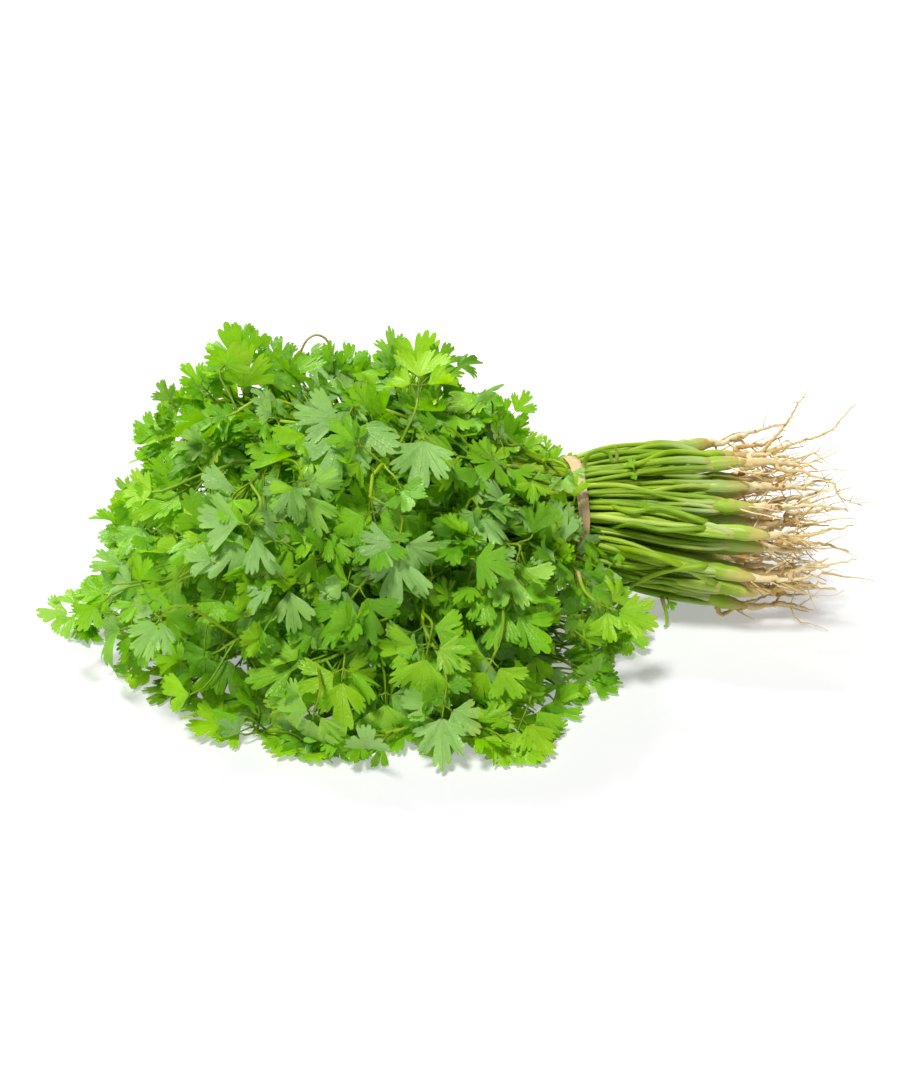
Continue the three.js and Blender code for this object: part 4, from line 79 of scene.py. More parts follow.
    ['plant_33', [104.9, -0.7, 66.5], [-0.979, 0.186, -0.079], [[111.2, -1.9, 67], [122.6, -3, 67], [133.4, -3.6, 65.3], [147, -6.9, 63.4]], [[[119, -0.5, 69], [127.8, 0.6, 67.7], [136.7, 0.3, 67]], [[129.7, -5.2, 64.3], [140.6, -8.1, 62.9], [151, -11.7, 60]]], [[[104.6, -1.7, 68], [76.8, 3.2, 67.2], [49.1, 8.9, 63.5], [[46.1, 8.9, 63.5], [38.5, 8, 67.1], [26.2, 15.9, 64.3], [21.2, 12.9, 67.4]], [21.2, 12.9, 67.4], [-0.639, -0.584, 0.501], [0.698, -0.166, 0.697], 25.4, 0], [[104.7, -2.2, 65.4], [76.9, 2.6, 64.6], [49.1, 8.4, 60.9], [[46.1, 8.4, 60.9], [36.5, 7.1, 64.9], [24.1, 0.6, 70.1], [17, -8.1, 76.3]], [17, -8.1, 76.3], [-0.488, -0.721, 0.492], [0.531, 0.202, 0.823], 32, 0], [[105.2, 0.3, 65], [77.1, 5.2, 64.2], [49.1, 10.9, 60.5], [[46.1, 10.9, 60.5], [28.1, 9.5, 67.8], [15, -7.1, 56.2], [2.2, -5.8, 63.4]], [2.2, -5.8, 63.4], [-0.805, 0.191, 0.562], [0.522, -0.222, 0.823], 32.9, 0]]],
    ['plant_34', [105.5, -11.7, 9.6], [-0.935, 0.267, 0.235], [[111.6, -13.5, 8.1], [121.8, -14.5, 6.3], [131.5, -15, 6.1], [143.7, -18, 3.1]], [[[128.5, -16.6, 7.9], [136.6, -18.3, 7.1], [144.5, -19.5, 4.9]]], [[[104.9, -12.5, 8], [77, -5.2, 13.9], [49.1, 3.7, 22.3], [[46.1, 3.7, 22.3], [41.2, 2.5, 20.1], [39.4, 20.2, 4.8], [42, 10.6, 3.4]], [42, 10.6, 3.4], [0.29, -0.951, 0.106], [-0.084, 0.085, 0.993], 36, 0], [[105.3, -13.4, 10.5], [77.2, -6.2, 16.4], [49.1, 2.8, 24.7], [[46.1, 2.8, 24.7], [34.6, -0.2, 20.3], [26.8, -8, 3.1], [19.5, -13, 2.2]], [19.5, -13, 2.2], [-0.817, -0.576, 0.035], [-0.017, 0.086, 0.996], 29.1, 0]]],
    ['plant_35', [104.8, 47.8, 46.6], [-0.973, -0.228, 0.036], [[111.1, 49.3, 46.3], [123.2, 50.4, 46.2], [134.6, 52, 45], [149.1, 46.4, 39.3]], [[[119.2, 47.8, 44.3], [128.7, 48.4, 43.8], [138, 48.4, 41.8]], [[130.9, 53, 47.4], [139.2, 54.3, 46.8], [147.2, 57, 46.1]]], [[[104.3, 49.5, 45.9], [76.7, 44.4, 47.3], [49.1, 36.4, 48], [[46.1, 36.4, 48], [39.7, 39.4, 48.8], [45.8, 39.2, 38.1], [42.4, 44.7, 38.1]], [42.4, 44.7, 38.1], [-0.544, 0.818, 0.188], [0.621, 0.243, 0.745], 27.8, 0], [[104.7, 48.4, 48.3], [76.9, 43.3, 49.8], [49.1, 35.3, 50.3], [[46.1, 35.3, 50.3], [40, 38.1, 51.4], [33.7, 41.3, 52.1], [31.6, 44.3, 52.7]], [31.6, 44.3, 52.7], [-0.455, 0.873, 0.174], [0.645, 0.188, 0.741], 27, 0], [[105.2, 46.1, 47.2], [77.1, 41, 48.7], [49.1, 33, 49.2], [[46.1, 33, 49.2], [34.3, 37.8, 51.1], [24, 40.5, 57.3], [14.7, 45.5, 61.9]], [14.7, 45.5, 61.9], [-0.79, 0.457, 0.409], [0.544, 0.214, 0.811], 34.6, 0]]],
    ['plant_36', [106.8, -29.4, 49.5], [-0.92, 0.391, 0.021], [[112.7, -32, 49.4], [121.5, -33.6, 48.7], [129.9, -33.8, 46.9], [140.5, -39.2, 42.9]], [[[127.5, -31.8, 46], [136.1, -31.3, 46.7], [144.4, -31.5, 49]]], [[[106.1, -31, 50.2], [77.6, -20.3, 51.4], [49.1, -6.5, 51.5], [[46.1, -6.5, 51.5], [41.3, -8.8, 52.5], [43.5, -8.9, 57.4], [41.9, -11.3, 58]], [41.9, -11.3, 58], [-0.512, -0.856, 0.074], [0.528, -0.246, 0.813], 30, 0], [[106.5, -30.1, 47.8], [77.8, -19.3, 48.9], [49.1, -5.5, 49.1], [[46.1, -5.5, 49.1], [36.3, -9.9, 50.7], [34.1, -33.2, 47.6], [31, -39, 50.4]], [31, -39, 50.4], [-0.44, -0.763, 0.474], [0.687, 0.054, 0.725], 35.9, 0]]],
]
HEAD_AXIS = ((-150, 20, 20), (-100, 16, 34), (-40, 12, 38), (10, 12, 38), (49, 14.6, 42))
TIE_AT = np.array([49.1, 14.6, 42.0])


# ------------------------------------------------------------------- camera
cam_data = bpy.data.cameras.new("camera")
cam = bpy.data.objects.new("camera", cam_data)
bpy.context.scene.collection.objects.link(cam)
AZ, EL, DIST = math.radians(-11), math.radians(27), 1.030
AIM = Vector((-0.0019, 0.0146, 0.038))
back = Vector((math.sin(AZ) * math.cos(EL), -math.cos(AZ) * math.cos(EL), math.sin(EL)))
cam.location = AIM + back * DIST
cam.rotation_euler = back.to_track_quat("Z", "Y").to_euler()
cam_data.lens = 85
cam_data.sensor_width = 36
cam_data.clip_start = 0.05
cam_data.clip_end = 30
bpy.context.scene.camera = cam


# -------------------------------------------------------------- small tools
def unit(v):
    v = np.asarray(v, float)
    return v / max(1e-9, float(np.linalg.norm(v)))


def across(v, axis):
    v = np.asarray(v, float)
    return unit(v - axis * float(v @ axis))


def smooth(x, a, b):
    t = np.clip((x - a) / (b - a), 0, 1)
    return t * t * (3 - 2 * t)


def head_core(x):
    xs = [p[0] for p in HEAD_AXIS]
    return np.array([x, np.interp(x, xs, [p[1] for p in HEAD_AXIS]), np.interp(x, xs, [p[2] for p in HEAD_AXIS])])


def bezier(c, n):
    t = np.linspace(0, 1, n)[:, None]
    c = [np.asarray(p, float) for p in c]
    return (1 - t) ** 3 * c[0] + 3 * t * (1 - t) ** 2 * c[1] + 3 * t * t * (1 - t) * c[2] + t ** 3 * c[3]


def resample(pts, n):
    d = np.r_[0, np.cumsum(np.linalg.norm(np.diff(pts, axis=0), axis=1))]
    s = np.linspace(0, d[-1], n)
    return np.stack([np.interp(s, d, pts[:, k]) for k in range(3)], 1)


def spline(knots, n):
    """A smooth curve through the knots."""
    k = np.asarray(knots, float)
    k = np.vstack([2 * k[0] - k[1], k, 2 * k[-1] - k[-2]])
    out = []
    per = max(3, int(math.ceil(n / (len(k) - 3))) + 1)
    for i in range(1, len(k) - 2):
        t = np.linspace(0, 1, per)[:, None]
        a, b, c, d = k[i - 1], k[i], k[i + 1], k[i + 2]
        out.append(0.5 * (2 * b + (c - a) * t + (2 * a - 5 * b + 4 * c - d) * t ** 2 + (3 * b - a - 3 * c + d) * t ** 3))
    return resample(np.vstack(out), n)


def frames(pts, side):
    """Axes along a curve: tangent, and two at right angles, carried along."""
    T = np.gradient(pts, axis=0)
    T /= np.maximum(1e-9, np.linalg.norm(T, axis=1))[:, None]
    N = np.empty_like(T)
    n = across(side, T[0])
    for i in range(len(T)):
        n = across(n, T[i])
        N[i] = n
    return T, N, np.cross(T, N)


class Piece:
    """Points, faces and point data of one mesh, in millimetres."""

    def __init__(self, name):
        self.name, self.v, self.q, self.t, self.a, self.b, self.uv, self.n = name, [], [], [], [], [], [], 0

    def add(self, v, quads=None, tris=None, a=None, b=None, uv=None):
        v = np.asarray(v, float).reshape(-1, 3)
        m = len(v)
        self.v.append(v)
        if quads is not None and len(quads):
            self.q.append(np.asarray(quads, int) + self.n)
        if tris is not None and len(tris):
            self.t.append(np.asarray(tris, int) + self.n)
        self.a.append(np.zeros((m, 4)) if a is None else np.asarray(a, float).reshape(m, 4))
        self.b.append(np.zeros((m, 4)) if b is None else np.asarray(b, float).reshape(m, 4))
        self.uv.append(np.zeros((m, 2)) if uv is None else np.asarray(uv, float).reshape(m, 2))
        self.n += m

    def faces(self):
        return sum(2 * len(q) for q in self.q) + sum(len(t) for t in self.t)

    def make(self, material, slot, node, bake=False):
        v = np.vstack(self.v) * MM
        q = np.vstack(self.q) if self.q else np.zeros((0, 4), int)
        t = np.vstack(self.t) if self.t else np.zeros((0, 3), int)
        me = bpy.data.meshes.new(self.name)
        me.vertices.add(len(v))
        me.vertices.foreach_set("co", v.astype(np.float32).ravel())
        loops = np.r_[q.ravel(), t.ravel()].astype(np.int32)
        me.loops.add(len(loops))
        me.loops.foreach_set("vertex_index", loops)
        me.polygons.add(len(q) + len(t))
        start = np.r_[np.arange(len(q)) * 4, len(q) * 4 + np.arange(len(t)) * 3].astype(np.int32)
        me.polygons.foreach_set("loop_start", start)
        me.polygons.foreach_set("use_smooth", np.ones(len(start), bool))
        for name, data in (("grow", self.a), ("tone", self.b)):
            at = me.attributes.new(name, "FLOAT_COLOR", "POINT")
            at.data.foreach_set("color", np.vstack(data).astype(np.float32).ravel())
        if bake:
            layer = me.uv_layers.new(name="OFBake")
            layer.data.foreach_set("uv", np.vstack(cells(self.uv))[loops].astype(np.float32).ravel())
        me.update(calc_edges=True)
        me.validate()
        ob = bpy.data.objects.new(self.name, me)
        bpy.context.scene.collection.objects.link(ob)
        me.materials.append(material)
        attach(ob, "root")
        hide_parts(node)
        return ob


def tube(piece, pts, rx, ry=None, sides=8, side=(0, 0, 1), a=None, tone=(0, 0, 0, 0), ends=True):
    """A closed tube. a(s, w) gives the point data from length in mm and angle."""
    n = len(pts)
    rx = np.broadcast_to(np.asarray(rx, float), (n,))
    ry = rx if ry is None else np.broadcast_to(np.asarray(ry, float), (n,))
    T, N, B = frames(pts, side)
    w = np.linspace(0, 2 * math.pi, sides, endpoint=False)
    v = (pts[:, None] + (rx[:, None] * np.cos(w))[..., None] * N[:, None] + (ry[:, None] * np.sin(w))[..., None] * B[:, None])
    s = np.r_[0, np.cumsum(np.linalg.norm(np.diff(pts, axis=0), axis=1))]
    S, Wd = np.meshgrid(s, w, indexing="ij")
    i, j = np.meshgrid(np.arange(n - 1), np.arange(sides), indexing="ij")
    k = (j + 1) % sides
    quads = np.stack([i * sides + j, i * sides + k, (i + 1) * sides + k, (i + 1) * sides + j], -1).reshape(-1, 4)
    verts, tris = v.reshape(-1, 3), None
    S, Wd = S.ravel(), Wd.ravel()
    if ends:
        verts = np.vstack([verts, pts[0] - T[0] * rx[0] * 0.35, pts[-1] + T[-1] * rx[-1] * 0.35])
        jj = np.arange(sides)
        kk = (jj + 1) % sides
        c0, c1, o = n * sides, n * sides + 1, (n - 1) * sides
        tris = np.vstack([np.stack([np.full(sides, c0), kk, jj], 1), np.stack([np.full(sides, c1), o + jj, o + kk], 1)])
        S, Wd = np.r_[S, 0, s[-1]], np.r_[Wd, 0, 0]
    data = np.stack([S / 100, (np.cos(Wd) + 1) / 2, (np.sin(Wd) + 1) / 2, S / max(1e-6, s[-1])], 1) if a is None else a(S, Wd, s[-1])
    piece.add(verts, quads, tris, data, np.tile(np.asarray(tone, float), (len(verts), 1)))


# ------------------------------------------------------------------ leaflets
def leaf_edge(kind, rng, fine=True):
    """Edge of a leaflet: angles in degrees, radii and vein marks, left to right."""
    j = lambda s: float(rng.normal(0, s))
    if kind == "fan3":        # three broad lobes with narrow slits
        lobes = [(-46 + j(1), 20, 0.82 + j(.05), 4), (j(1), 19, 1.0, 3), (46 + j(1), 20, 0.82 + j(.05), 4)]
        slits = [0.42 + j(.06), 0.42 + j(.06)]
    elif kind == "fan5":      # five lobes
        lobes = [(-69, 14, 0.66 + j(.04), 2), (-35.5 + j(.6), 15.0, 0.86 + j(.03), 3), (j(.6), 16.0, 1.0, 3),
                 (35.5 + j(.6), 15.0, 0.86 + j(.03), 3), (69, 13.5, 0.66 + j(.04), 2)]
        slits = [0.50 + j(.05), 0.43 + j(.06), 0.43 + j(.06), 0.50 + j(.05)]
    elif kind == "two":       # one lobe larger than the other
        lobes = [(-36 + j(2), 27, 0.82 + j(.04), 4), (33 + j(2), 29, 1.0, 4)]
        slits = [0.40 + j(.07)]
    elif kind == "shallow":   # nearly round, slits short
        lobes = [(-48 + j(2), 22.5, 0.82 + j(.03), 3), (j(2), 21.5, 1.0, 4), (48 + j(2), 22.5, 0.84 + j(.03), 3)]
        slits = [0.50 + j(.05), 0.50 + j(.05)]
    else:                     # wedge with deep lobes
        lobes = [(-35 + j(1), 16, 0.84 + j(.05), 2), (j(1), 16, 1.0, 3), (35 + j(1), 16, 0.82 + j(.05), 2)]
        slits = [0.46 + j(.06), 0.44 + j(.06)]
    th, rad, vein = [], [], []

    def put(a, r, m):
        th.append(a)
        rad.append(r)
        vein.append(m)
    for i, (c, hw, ln, teeth) in enumerate(lobes):
        env = lambda a: ln * (1 - 0.15 * ((a - c) / hw) ** 2 - 0.06 * abs((a - c) / hw) ** 5)
        depth = 0.118 + abs(j(0.03))
        lo, hi = c - hw, c + hw
        if i == 0:
            put(lo - 5, 0.50 * ln, 0.0)
        w = (hi - lo) / teeth
        for k in range(teeth):
            a0 = lo + k * w
            mid = 1.0 - 0.5 * abs((a0 + w / 2 - c) / hw)
            up = 1 + j(.018)
            put(a0 + 0.01 * w, env(a0) * (1 - depth), 0.0)
            put(a0 + 0.22 * w, env(a0 + 0.22 * w) * up * (1 - depth * 0.12), 0.35)
            if fine:
                put(a0 + (0.50 + j(.02)) * w, env(a0 + 0.5 * w) * up * 1.022, mid)
                put(a0 + 0.78 * w, env(a0 + 0.78 * w) * up * (1 - depth * 0.12), 0.35)
            else:
                put(a0 + 0.74 * w, env(a0 + 0.74 * w) * up, mid * 0.8)
        put(hi - 0.01 * w, env(hi) * (1 - depth), 0.0)
        if i + 1 < len(lobes):
            nxt = lobes[i + 1][0] - lobes[i + 1][1]
            put((hi + nxt) / 2, max(0.28, slits[i]), 0.0)
        else:
            put(hi + 5, 0.50 * ln, 0.0)
    th, rad, vein = np.array(th), np.array(rad), np.array(vein)
    order = np.argsort(th, kind="stable")
    return np.radians(th[order]), rad[order], vein[order]


ROWS = np.array([0.04, 0.24, 0.46, 0.68, 0.87, 1.0])
FEW = np.array([0.05, 0.34, 0.62, 0.86, 1.0])
LEAST = np.array([0.06, 0.45, 0.80, 1.0])


def cells(blades):
    """Places for the blades of one piece in a square atlas, side by side."""
    g = max(1, math.ceil(math.sqrt(len(blades))))
    out = []
    for i, xy in enumerate(blades):
        lo, hi = xy.min(0), xy.max(0)
        k = 0.9 / max(1e-6, float((hi - lo).max()))
        out.append(((xy - lo) * k + 0.05 + np.array([i % g, i // g])) / g)
    return out


def leaflet(piece, base, axis, face, size, rng, kind=None, cup=None, arch=None, twist=None, fold=None, tone=None, pale=None, lift=None, calm=False):
    """One leaflet blade, a thin sheet, from its base along axis."""
    if kind is None:
        kind = rng.choice(["fan3", "fan5", "two", "shallow", "wedge"], p=[.34, .22, .12, .16, .16])
    th, rad, vein = leaf_edge(kind, rng, size > 14.5)
    rows = ROWS if size > 21 else FEW if size > 14.5 else LEAST
    r = np.outer(rows, rad)
    far = r / rad.max()
    ang = th[None] * (0.62 + 0.38 * far ** 0.8)
    x, y = r * np.sin(ang), r * np.cos(ang)
    fx, fy = x.copy(), y.copy()                     # flat shape, for the atlas
    if cup is None:
        cup = rng.normal(0.3, 0.8) if rng.random() > .1 else rng.uniform(1.8, 3.2) * rng.choice((-1, 1))
    arch = rng.normal(0.4, 0.6) if arch is None else arch
    twist = rng.normal(0, 0.25) if twist is None else twist
    fold = rng.normal(0.10, 0.16) if fold is None else fold
    z = fold * (np.sqrt(x * x + 0.004) - 0.063)
    m, ph = rng.integers(3, 6), rng.uniform(0, 6.28)
    wave = 0.35 if calm else 1.0
    z = z + wave * far ** 2 * rng.uniform(0.035, 0.10) * np.sin(m * th[None] * 1.7 + ph)
    z = z + wave * far ** 4 * rng.uniform(0.02, 0.05) * np.sin(9.5 * th[None] + ph * 2)
    z = z - 0.006 * far * (vein[None] - 0.4)
    z = z + wave * rng.normal(0, 0.05) * far ** 3 * np.cos(2.2 * th[None] + ph)
    if abs(cup) > 0.02:                             # bent across
        k = cup
        x, z = np.sin(k * x) / k - z * np.sin(k * x), (1 - np.cos(k * x)) / k + z * np.cos(k * x)
    z = z + twist * x * y
    if abs(arch) > 0.02:                            # tip bent down
        k = -arch
        y, z = np.sin(k * y) / k - z * np.sin(k * y), (1 - np.cos(k * y)) / k + z * np.cos(k * y)
    a = unit(axis)
    n = across(face, a)
    b = np.cross(a, n)
    P = np.asarray(base, float) + size * (x[..., None] * b + y[..., None] * a + z[..., None] * n)
    low = 0.25 + (rng.uniform(0, 1.6) if lift is None else lift)
    zz = P[..., 2]
    P[..., 2] = np.where(zz < low + 1.2, low + 1.2 * np.exp(np.minimum(0, (zz - low - 1.2) / 1.2)), zz)
    R, C = r.shape
    i, j = np.meshgrid(np.arange(R - 1), np.arange(C - 1), indexing="ij")
    quads = np.stack([i * C + j, (i + 1) * C + j, (i + 1) * C + j + 1, i * C + j + 1], -1).reshape(-1, 4)
    tone = float(np.clip(rng.normal(0.5, 0.22), 0, 1)) if tone is None else tone
    pale = float(np.clip(rng.normal(0.12, 0.3), 0, 1)) if pale is None else pale
    g = np.stack([np.broadcast_to(vein[None], r.shape), np.broadcast_to(rows[:, None], r.shape), r, np.full(r.shape, rng.random())], -1)
    t = np.stack([np.full(r.shape, tone), np.full(r.shape, pale), np.full(r.shape, rng.random()), np.full(r.shape, rng.random())], -1)
    piece.add(P.reshape(-1, 3), quads, None, g.reshape(-1, 4), t.reshape(-1, 4), np.stack([fx, fy], -1).reshape(-1, 2))
    piece.leaflets += 1


def thin_stalk(piece, p0, d0, p1, d1, r0, r1, rng, tone, sides=3, n=5):
    L = float(np.linalg.norm(np.asarray(p1) - p0))
    c = [np.asarray(p0, float), np.asarray(p0) + unit(d0) * L * 0.38, np.asarray(p1) - unit(d1) * L * 0.34, np.asarray(p1, float)]
    pts = bezier(c, n)
    pts[:, 2] = np.maximum(pts[:, 2], r0 + 0.2)
    tube(piece, pts, np.linspace(r0, r1, n), sides=sides, tone=tone,
         a=lambda s, w, t: np.stack([1.2 + s / 100, (np.cos(w) + 1) / 2, (np.sin(w) + 1) / 2, np.zeros(len(s))], 1))


def compound(leaf, stem, base, axis, face, L, rng, tone=None, pale=None, flat=False, tame=1.0, r0=0.62, parts=3):
    """A leaf of three or five leaflets on a short stalk, from base along axis."""
    a = unit(axis)
    n = across(face, a)
    b = np.cross(a, n)
    base = np.asarray(base, float)
    stone = (0.33 + rng.normal(0, .12), rng.random(), 0, 1)
    lean = lambda s: n + b * rng.normal(0, s * tame) + a * rng.normal(0, s * tame)
    split = base + a * L * (0.17 if parts < 5 else 0.26)
    end = base + a * L * (0.34 if parts < 5 else 0.43) + n * rng.normal(0, 0.03) * L
    thin_stalk(stem, base - a * 1.0, a, split, a, r0, r0 * 0.85, rng, stone, n=4)
    thin_stalk(stem, split, a, end, a + n * rng.normal(0, .15), r0 * 0.85, r0 * 0.6, rng, stone, n=4)
    def put(p, d, f, size, kind=None):
        t = None if tone is None else float(np.clip(tone + rng.normal(0, .12), 0, 1))
        q = None if pale is None else float(np.clip(pale + rng.normal(0, .12), 0, 1))
        if flat:
            leaflet(leaf, p, d, f, size, rng, kind, cup=rng.normal(0, .2), arch=rng.normal(-.05, .15), fold=rng.normal(0, .05), twist=rng.normal(0, .1), tone=t, pale=q, calm=True)
        else:
            leaflet(leaf, p, d, f, size, rng, kind, tone=t, pale=q)
    put(end, a + b * rng.normal(0, .12), lean(.22), L * rng.uniform(0.55, 0.64), rng.choice(["fan3", "fan5", "shallow"], p=[.5, .35, .15]))
    for sgn in (-1, 1):
        w = math.radians(rng.uniform(52, 74))
        d = a * math.cos(w) + b * sgn * math.sin(w) + n * rng.normal(0, .12 * tame)
        q = split + d * L * rng.uniform(0.07, 0.14)
        thin_stalk(stem, split, a + d, q, d, r0 * 0.7, r0 * 0.5, rng, stone, n=4)
        put(q, d, lean(.34) - b * sgn * 0.15, L * rng.uniform(0.41, 0.50))
    if parts >= 5:
        for sgn in (-1, 1):
            w = math.radians(rng.uniform(58, 80))
            d = a * math.cos(w) + b * sgn * math.sin(w) + n * rng.normal(0, .12 * tame)
            s0 = base + a * L * 0.03
            q = s0 + d * L * rng.uniform(0.10, 0.2)
            thin_stalk(stem, s0, a + d, q, d, r0 * 0.7, r0 * 0.5, rng, stone, n=4)
            put(q, d, lean(.34) - b * sgn * 0.15, L * rng.uniform(0.36, 0.45), rng.choice(["two", "wedge", "fan3"]))


# ------------------------------------------------------------ leaf stalks
def stalk_path(st, rng, shift=(0, 0, 0), wobble=0.7):
    start, mid, tie = (np.array(p, float) for p in st[:3])
    c = 2 * mid - 0.5 * (start + tie)
    t = np.linspace(0, 1, 12)[:, None]
    first = (1 - t) ** 2 * start + 2 * t * (1 - t) * c + t * t * tie
    after = bezier(st[3], 22)[1:]
    w = rng.uniform(-wobble, wobble, 3) * (1, 1, 1)
    first = first + np.sin(math.pi * t) * w * (0, 1, 1) + np.sin(2 * math.pi * t) * rng.uniform(-1, 1, 3) * wobble * (0, 1, 1)
    pts = np.vstack([first, after])
    pts[1:] += np.cumsum(rng.normal(0, 0.10, (len(pts) - 1, 3)), 0) * (0, 1, 1) * smooth(np.arange(1, len(pts)), 0, 4)[:, None] * (np.arange(1, len(pts)) != 11)[:, None]
    return pts


def stalk(stem, pts, crown, rng, r_mid=1.3, r_end=0.7, sheath=2.9, tone=None):
    """A leaf stalk: a flat clasping sheath at the crown, then round."""
    n = 28
    s0 = np.r_[0, np.cumsum(np.linalg.norm(np.diff(pts, axis=0), axis=1))]
    total = s0[-1]
    u = np.r_[0, 1.5, np.linspace(5, 44, 9), np.linspace(44, total, n - 10)[1:]]
    P = np.stack([np.interp(u, s0, pts[:, k]) for k in range(3)], 1)
    P[:, 2] = np.maximum(P[:, 2], 1.5)
    fat = smooth(u, 30, 3)
    thin = smooth(u, 60, total)
    wide = (r_mid + (r_end - r_mid) * thin) + (sheath - r_mid) * fat
    flat = (r_mid * 0.92 + (r_end - r_mid * 0.92) * thin) - (r_mid * 0.92 - 1.0) * fat * 0.6
    wide, flat = wide * np.interp(u, [0, 1.5, 5], [.3, .75, 1]), flat * np.interp(u, [0, 1.5, 5], [.3, .75, 1])
    tan = unit(P[1] - P[0])
    out = P[0] - crown
    out = out - tan * float(out @ tan)
    side = np.cross(tan, out if np.linalg.norm(out) > 0.2 else np.array([0, 0, 1.0]))
    tone = (float(np.clip(rng.normal(.5, .2), 0, 1)), rng.random(), rng.random(), 0) if tone is None else tone
    tube(stem, P, wide, flat, sides=7, side=side, tone=tone,
         a=lambda s, w, t: np.stack([s / 100, (np.cos(w) + 1) / 2, (np.sin(w) + 1) / 2, smooth(s, 34, 0)], 1))
    return P


# ------------------------------------------------------------------- roots
def rootlet(piece, p, d, length, r0, r1, rng, kink=0.35, sides=5, pull=(0.35, 0, 0), tone=None, steps=None, floor=0.5):
    n = steps or max(6, int(length / 3.2))
    pts = [np.array(p, float)]
    d = unit(d)
    for _ in range(n - 1):
        d = unit(d + rng.normal(0, kink, 3) * 0.42 + np.array(pull) * 0.12)
        q = pts[-1] + d * length / (n - 1)
        if q[2] < floor + r0:
            q[2] = floor + r0
            d[2] = abs(d[2]) * 0.3
        pts.append(q)
    pts = np.array(pts)
    r = r0 + (r1 - r0) * np.linspace(0, 1, n) ** 0.8
    tone = (rng.random(), rng.random(), rng.random(), 0) if tone is None else tone
    tube(piece, pts, r, sides=sides, tone=tone)
    return pts


def taproot(piece, pts, d_in, r0, rng):
    k = np.vstack([pts[0] - unit(pts[1] - pts[0]) * 7.5, pts])
    P = spline(k, 22)
    s = np.linspace(0, 1, 22)
    wob = rng.normal(0, 0.35, (22, 3)) * smooth(s, 0.1, 0.4)[:, None]
    P = P + wob
    P[:, 2] = np.maximum(P[:, 2], 1.6)
    r = np.interp(s, [0, 0.12, 0.24, 0.38, 0.58, 0.8, 1.0], [r0 * 0.25, r0 * 0.55, r0 * 0.82, r0 * 0.66, r0 * 0.42, r0 * 0.22, r0 * 0.09])
    r = r * (1 + rng.normal(0, 0.06, 22))
    tube(piece, P, r, r * rng.uniform(0.85, 1.0), sides=9, tone=(rng.random(), rng.random(), rng.random(), 0))
    return P


# ----------------------------------------------- places seen by the camera
FWD = np.array([-v for v in back])
SIDE = unit(np.cross(FWD, (0, 0, 1)))
UP = np.cross(SIDE, FWD)
EYE = np.array(cam.location) * 1000.0
FOCAL = 85 / 36 * 1065


def ray(px, py):
    return unit(FWD * FOCAL + SIDE * (px - 450) + UP * (532.5 - py))


def on_plane(px, py, y):
    d = ray(px, py)
    return EYE + d * (y - EYE[1]) / d[1]


def seen(points):
    """Picture place of points in millimetres."""
    v = np.atleast_2d(points) - EYE
    z = v @ FWD
    return np.stack([450 + FOCAL * (v @ SIDE) / z, 532.5 - FOCAL * (v @ UP) / z], 1)


def touch(px, py, points, reach=2.2, gap=1.8, default=None):
    """First place along the line of sight that lies on one of the points."""
    d = ray(px, py)
    v = points - EYE
    t = v @ d
    off = np.linalg.norm(v - t[:, None] * d, axis=1)
    hit = t[off < reach]
    t0 = float(hit.min()) - gap if len(hit) else default
    return None if t0 is None else EYE + d * t0


# the outline of the leaf mass in the picture
OUTLINE = np.array([(57, 618), (92, 600), (112, 560), (104, 530), (118, 488), (140, 476), (138, 448), (150, 405), (185, 378), (214, 370), (220, 338),
                    (245, 331), (264, 352), (300, 354), (320, 343), (346, 358), (374, 372), (382, 348), (425, 345), (457, 364), (455, 385), (500, 401),
                    (529, 406), (527, 436), (562, 455), (588, 470), (606, 500), (612, 560), (628, 600), (641, 645), (604, 652), (594, 668), (618, 686),
                    (592, 694), (562, 722), (534, 768), (470, 747), (440, 755), (420, 737), (372, 742), (336, 770), (294, 768), (270, 737), (230, 727),
                    (190, 707), (134, 703), (128, 680), (84, 657), (58, 632)], float)
MIDDLE = np.array([345.0, 560.0])


def inside(p, grow=0.0):
    q = seen(p)[0]
    v = q - MIDDLE
    q = q - v / max(1.0, float(np.hypot(*v))) * grow
    a, b = OUTLINE, np.roll(OUTLINE, -1, 0)
    c = (a[:, 1] > q[1]) != (b[:, 1] > q[1])
    x = a[:, 0] + (q[1] - a[:, 1]) / np.where(b[:, 1] == a[:, 1], 1e-9, b[:, 1] - a[:, 1]) * (b[:, 0] - a[:, 0])
    return bool(np.sum(c & (q[0] < x)) % 2)


def tucked(base, ax, L, grow=5.0):
    """Turns a leaf inwards until its tip is within the outline."""
    base, ax = np.array(base, float), unit(ax)
    for _ in range(11):
        tip = base + ax * L * 0.97
        if inside(tip, grow) and inside(base + ax * L * .6, grow):
            break
        inward = unit(head_core(base[0]) - tip)
        ax = unit(ax + inward * 0.20)
        base = base + unit(head_core(base[0]) - base) * 1.0
        L *= 0.965
    base[2] = max(base[2], 2.0)
    return base, ax, L


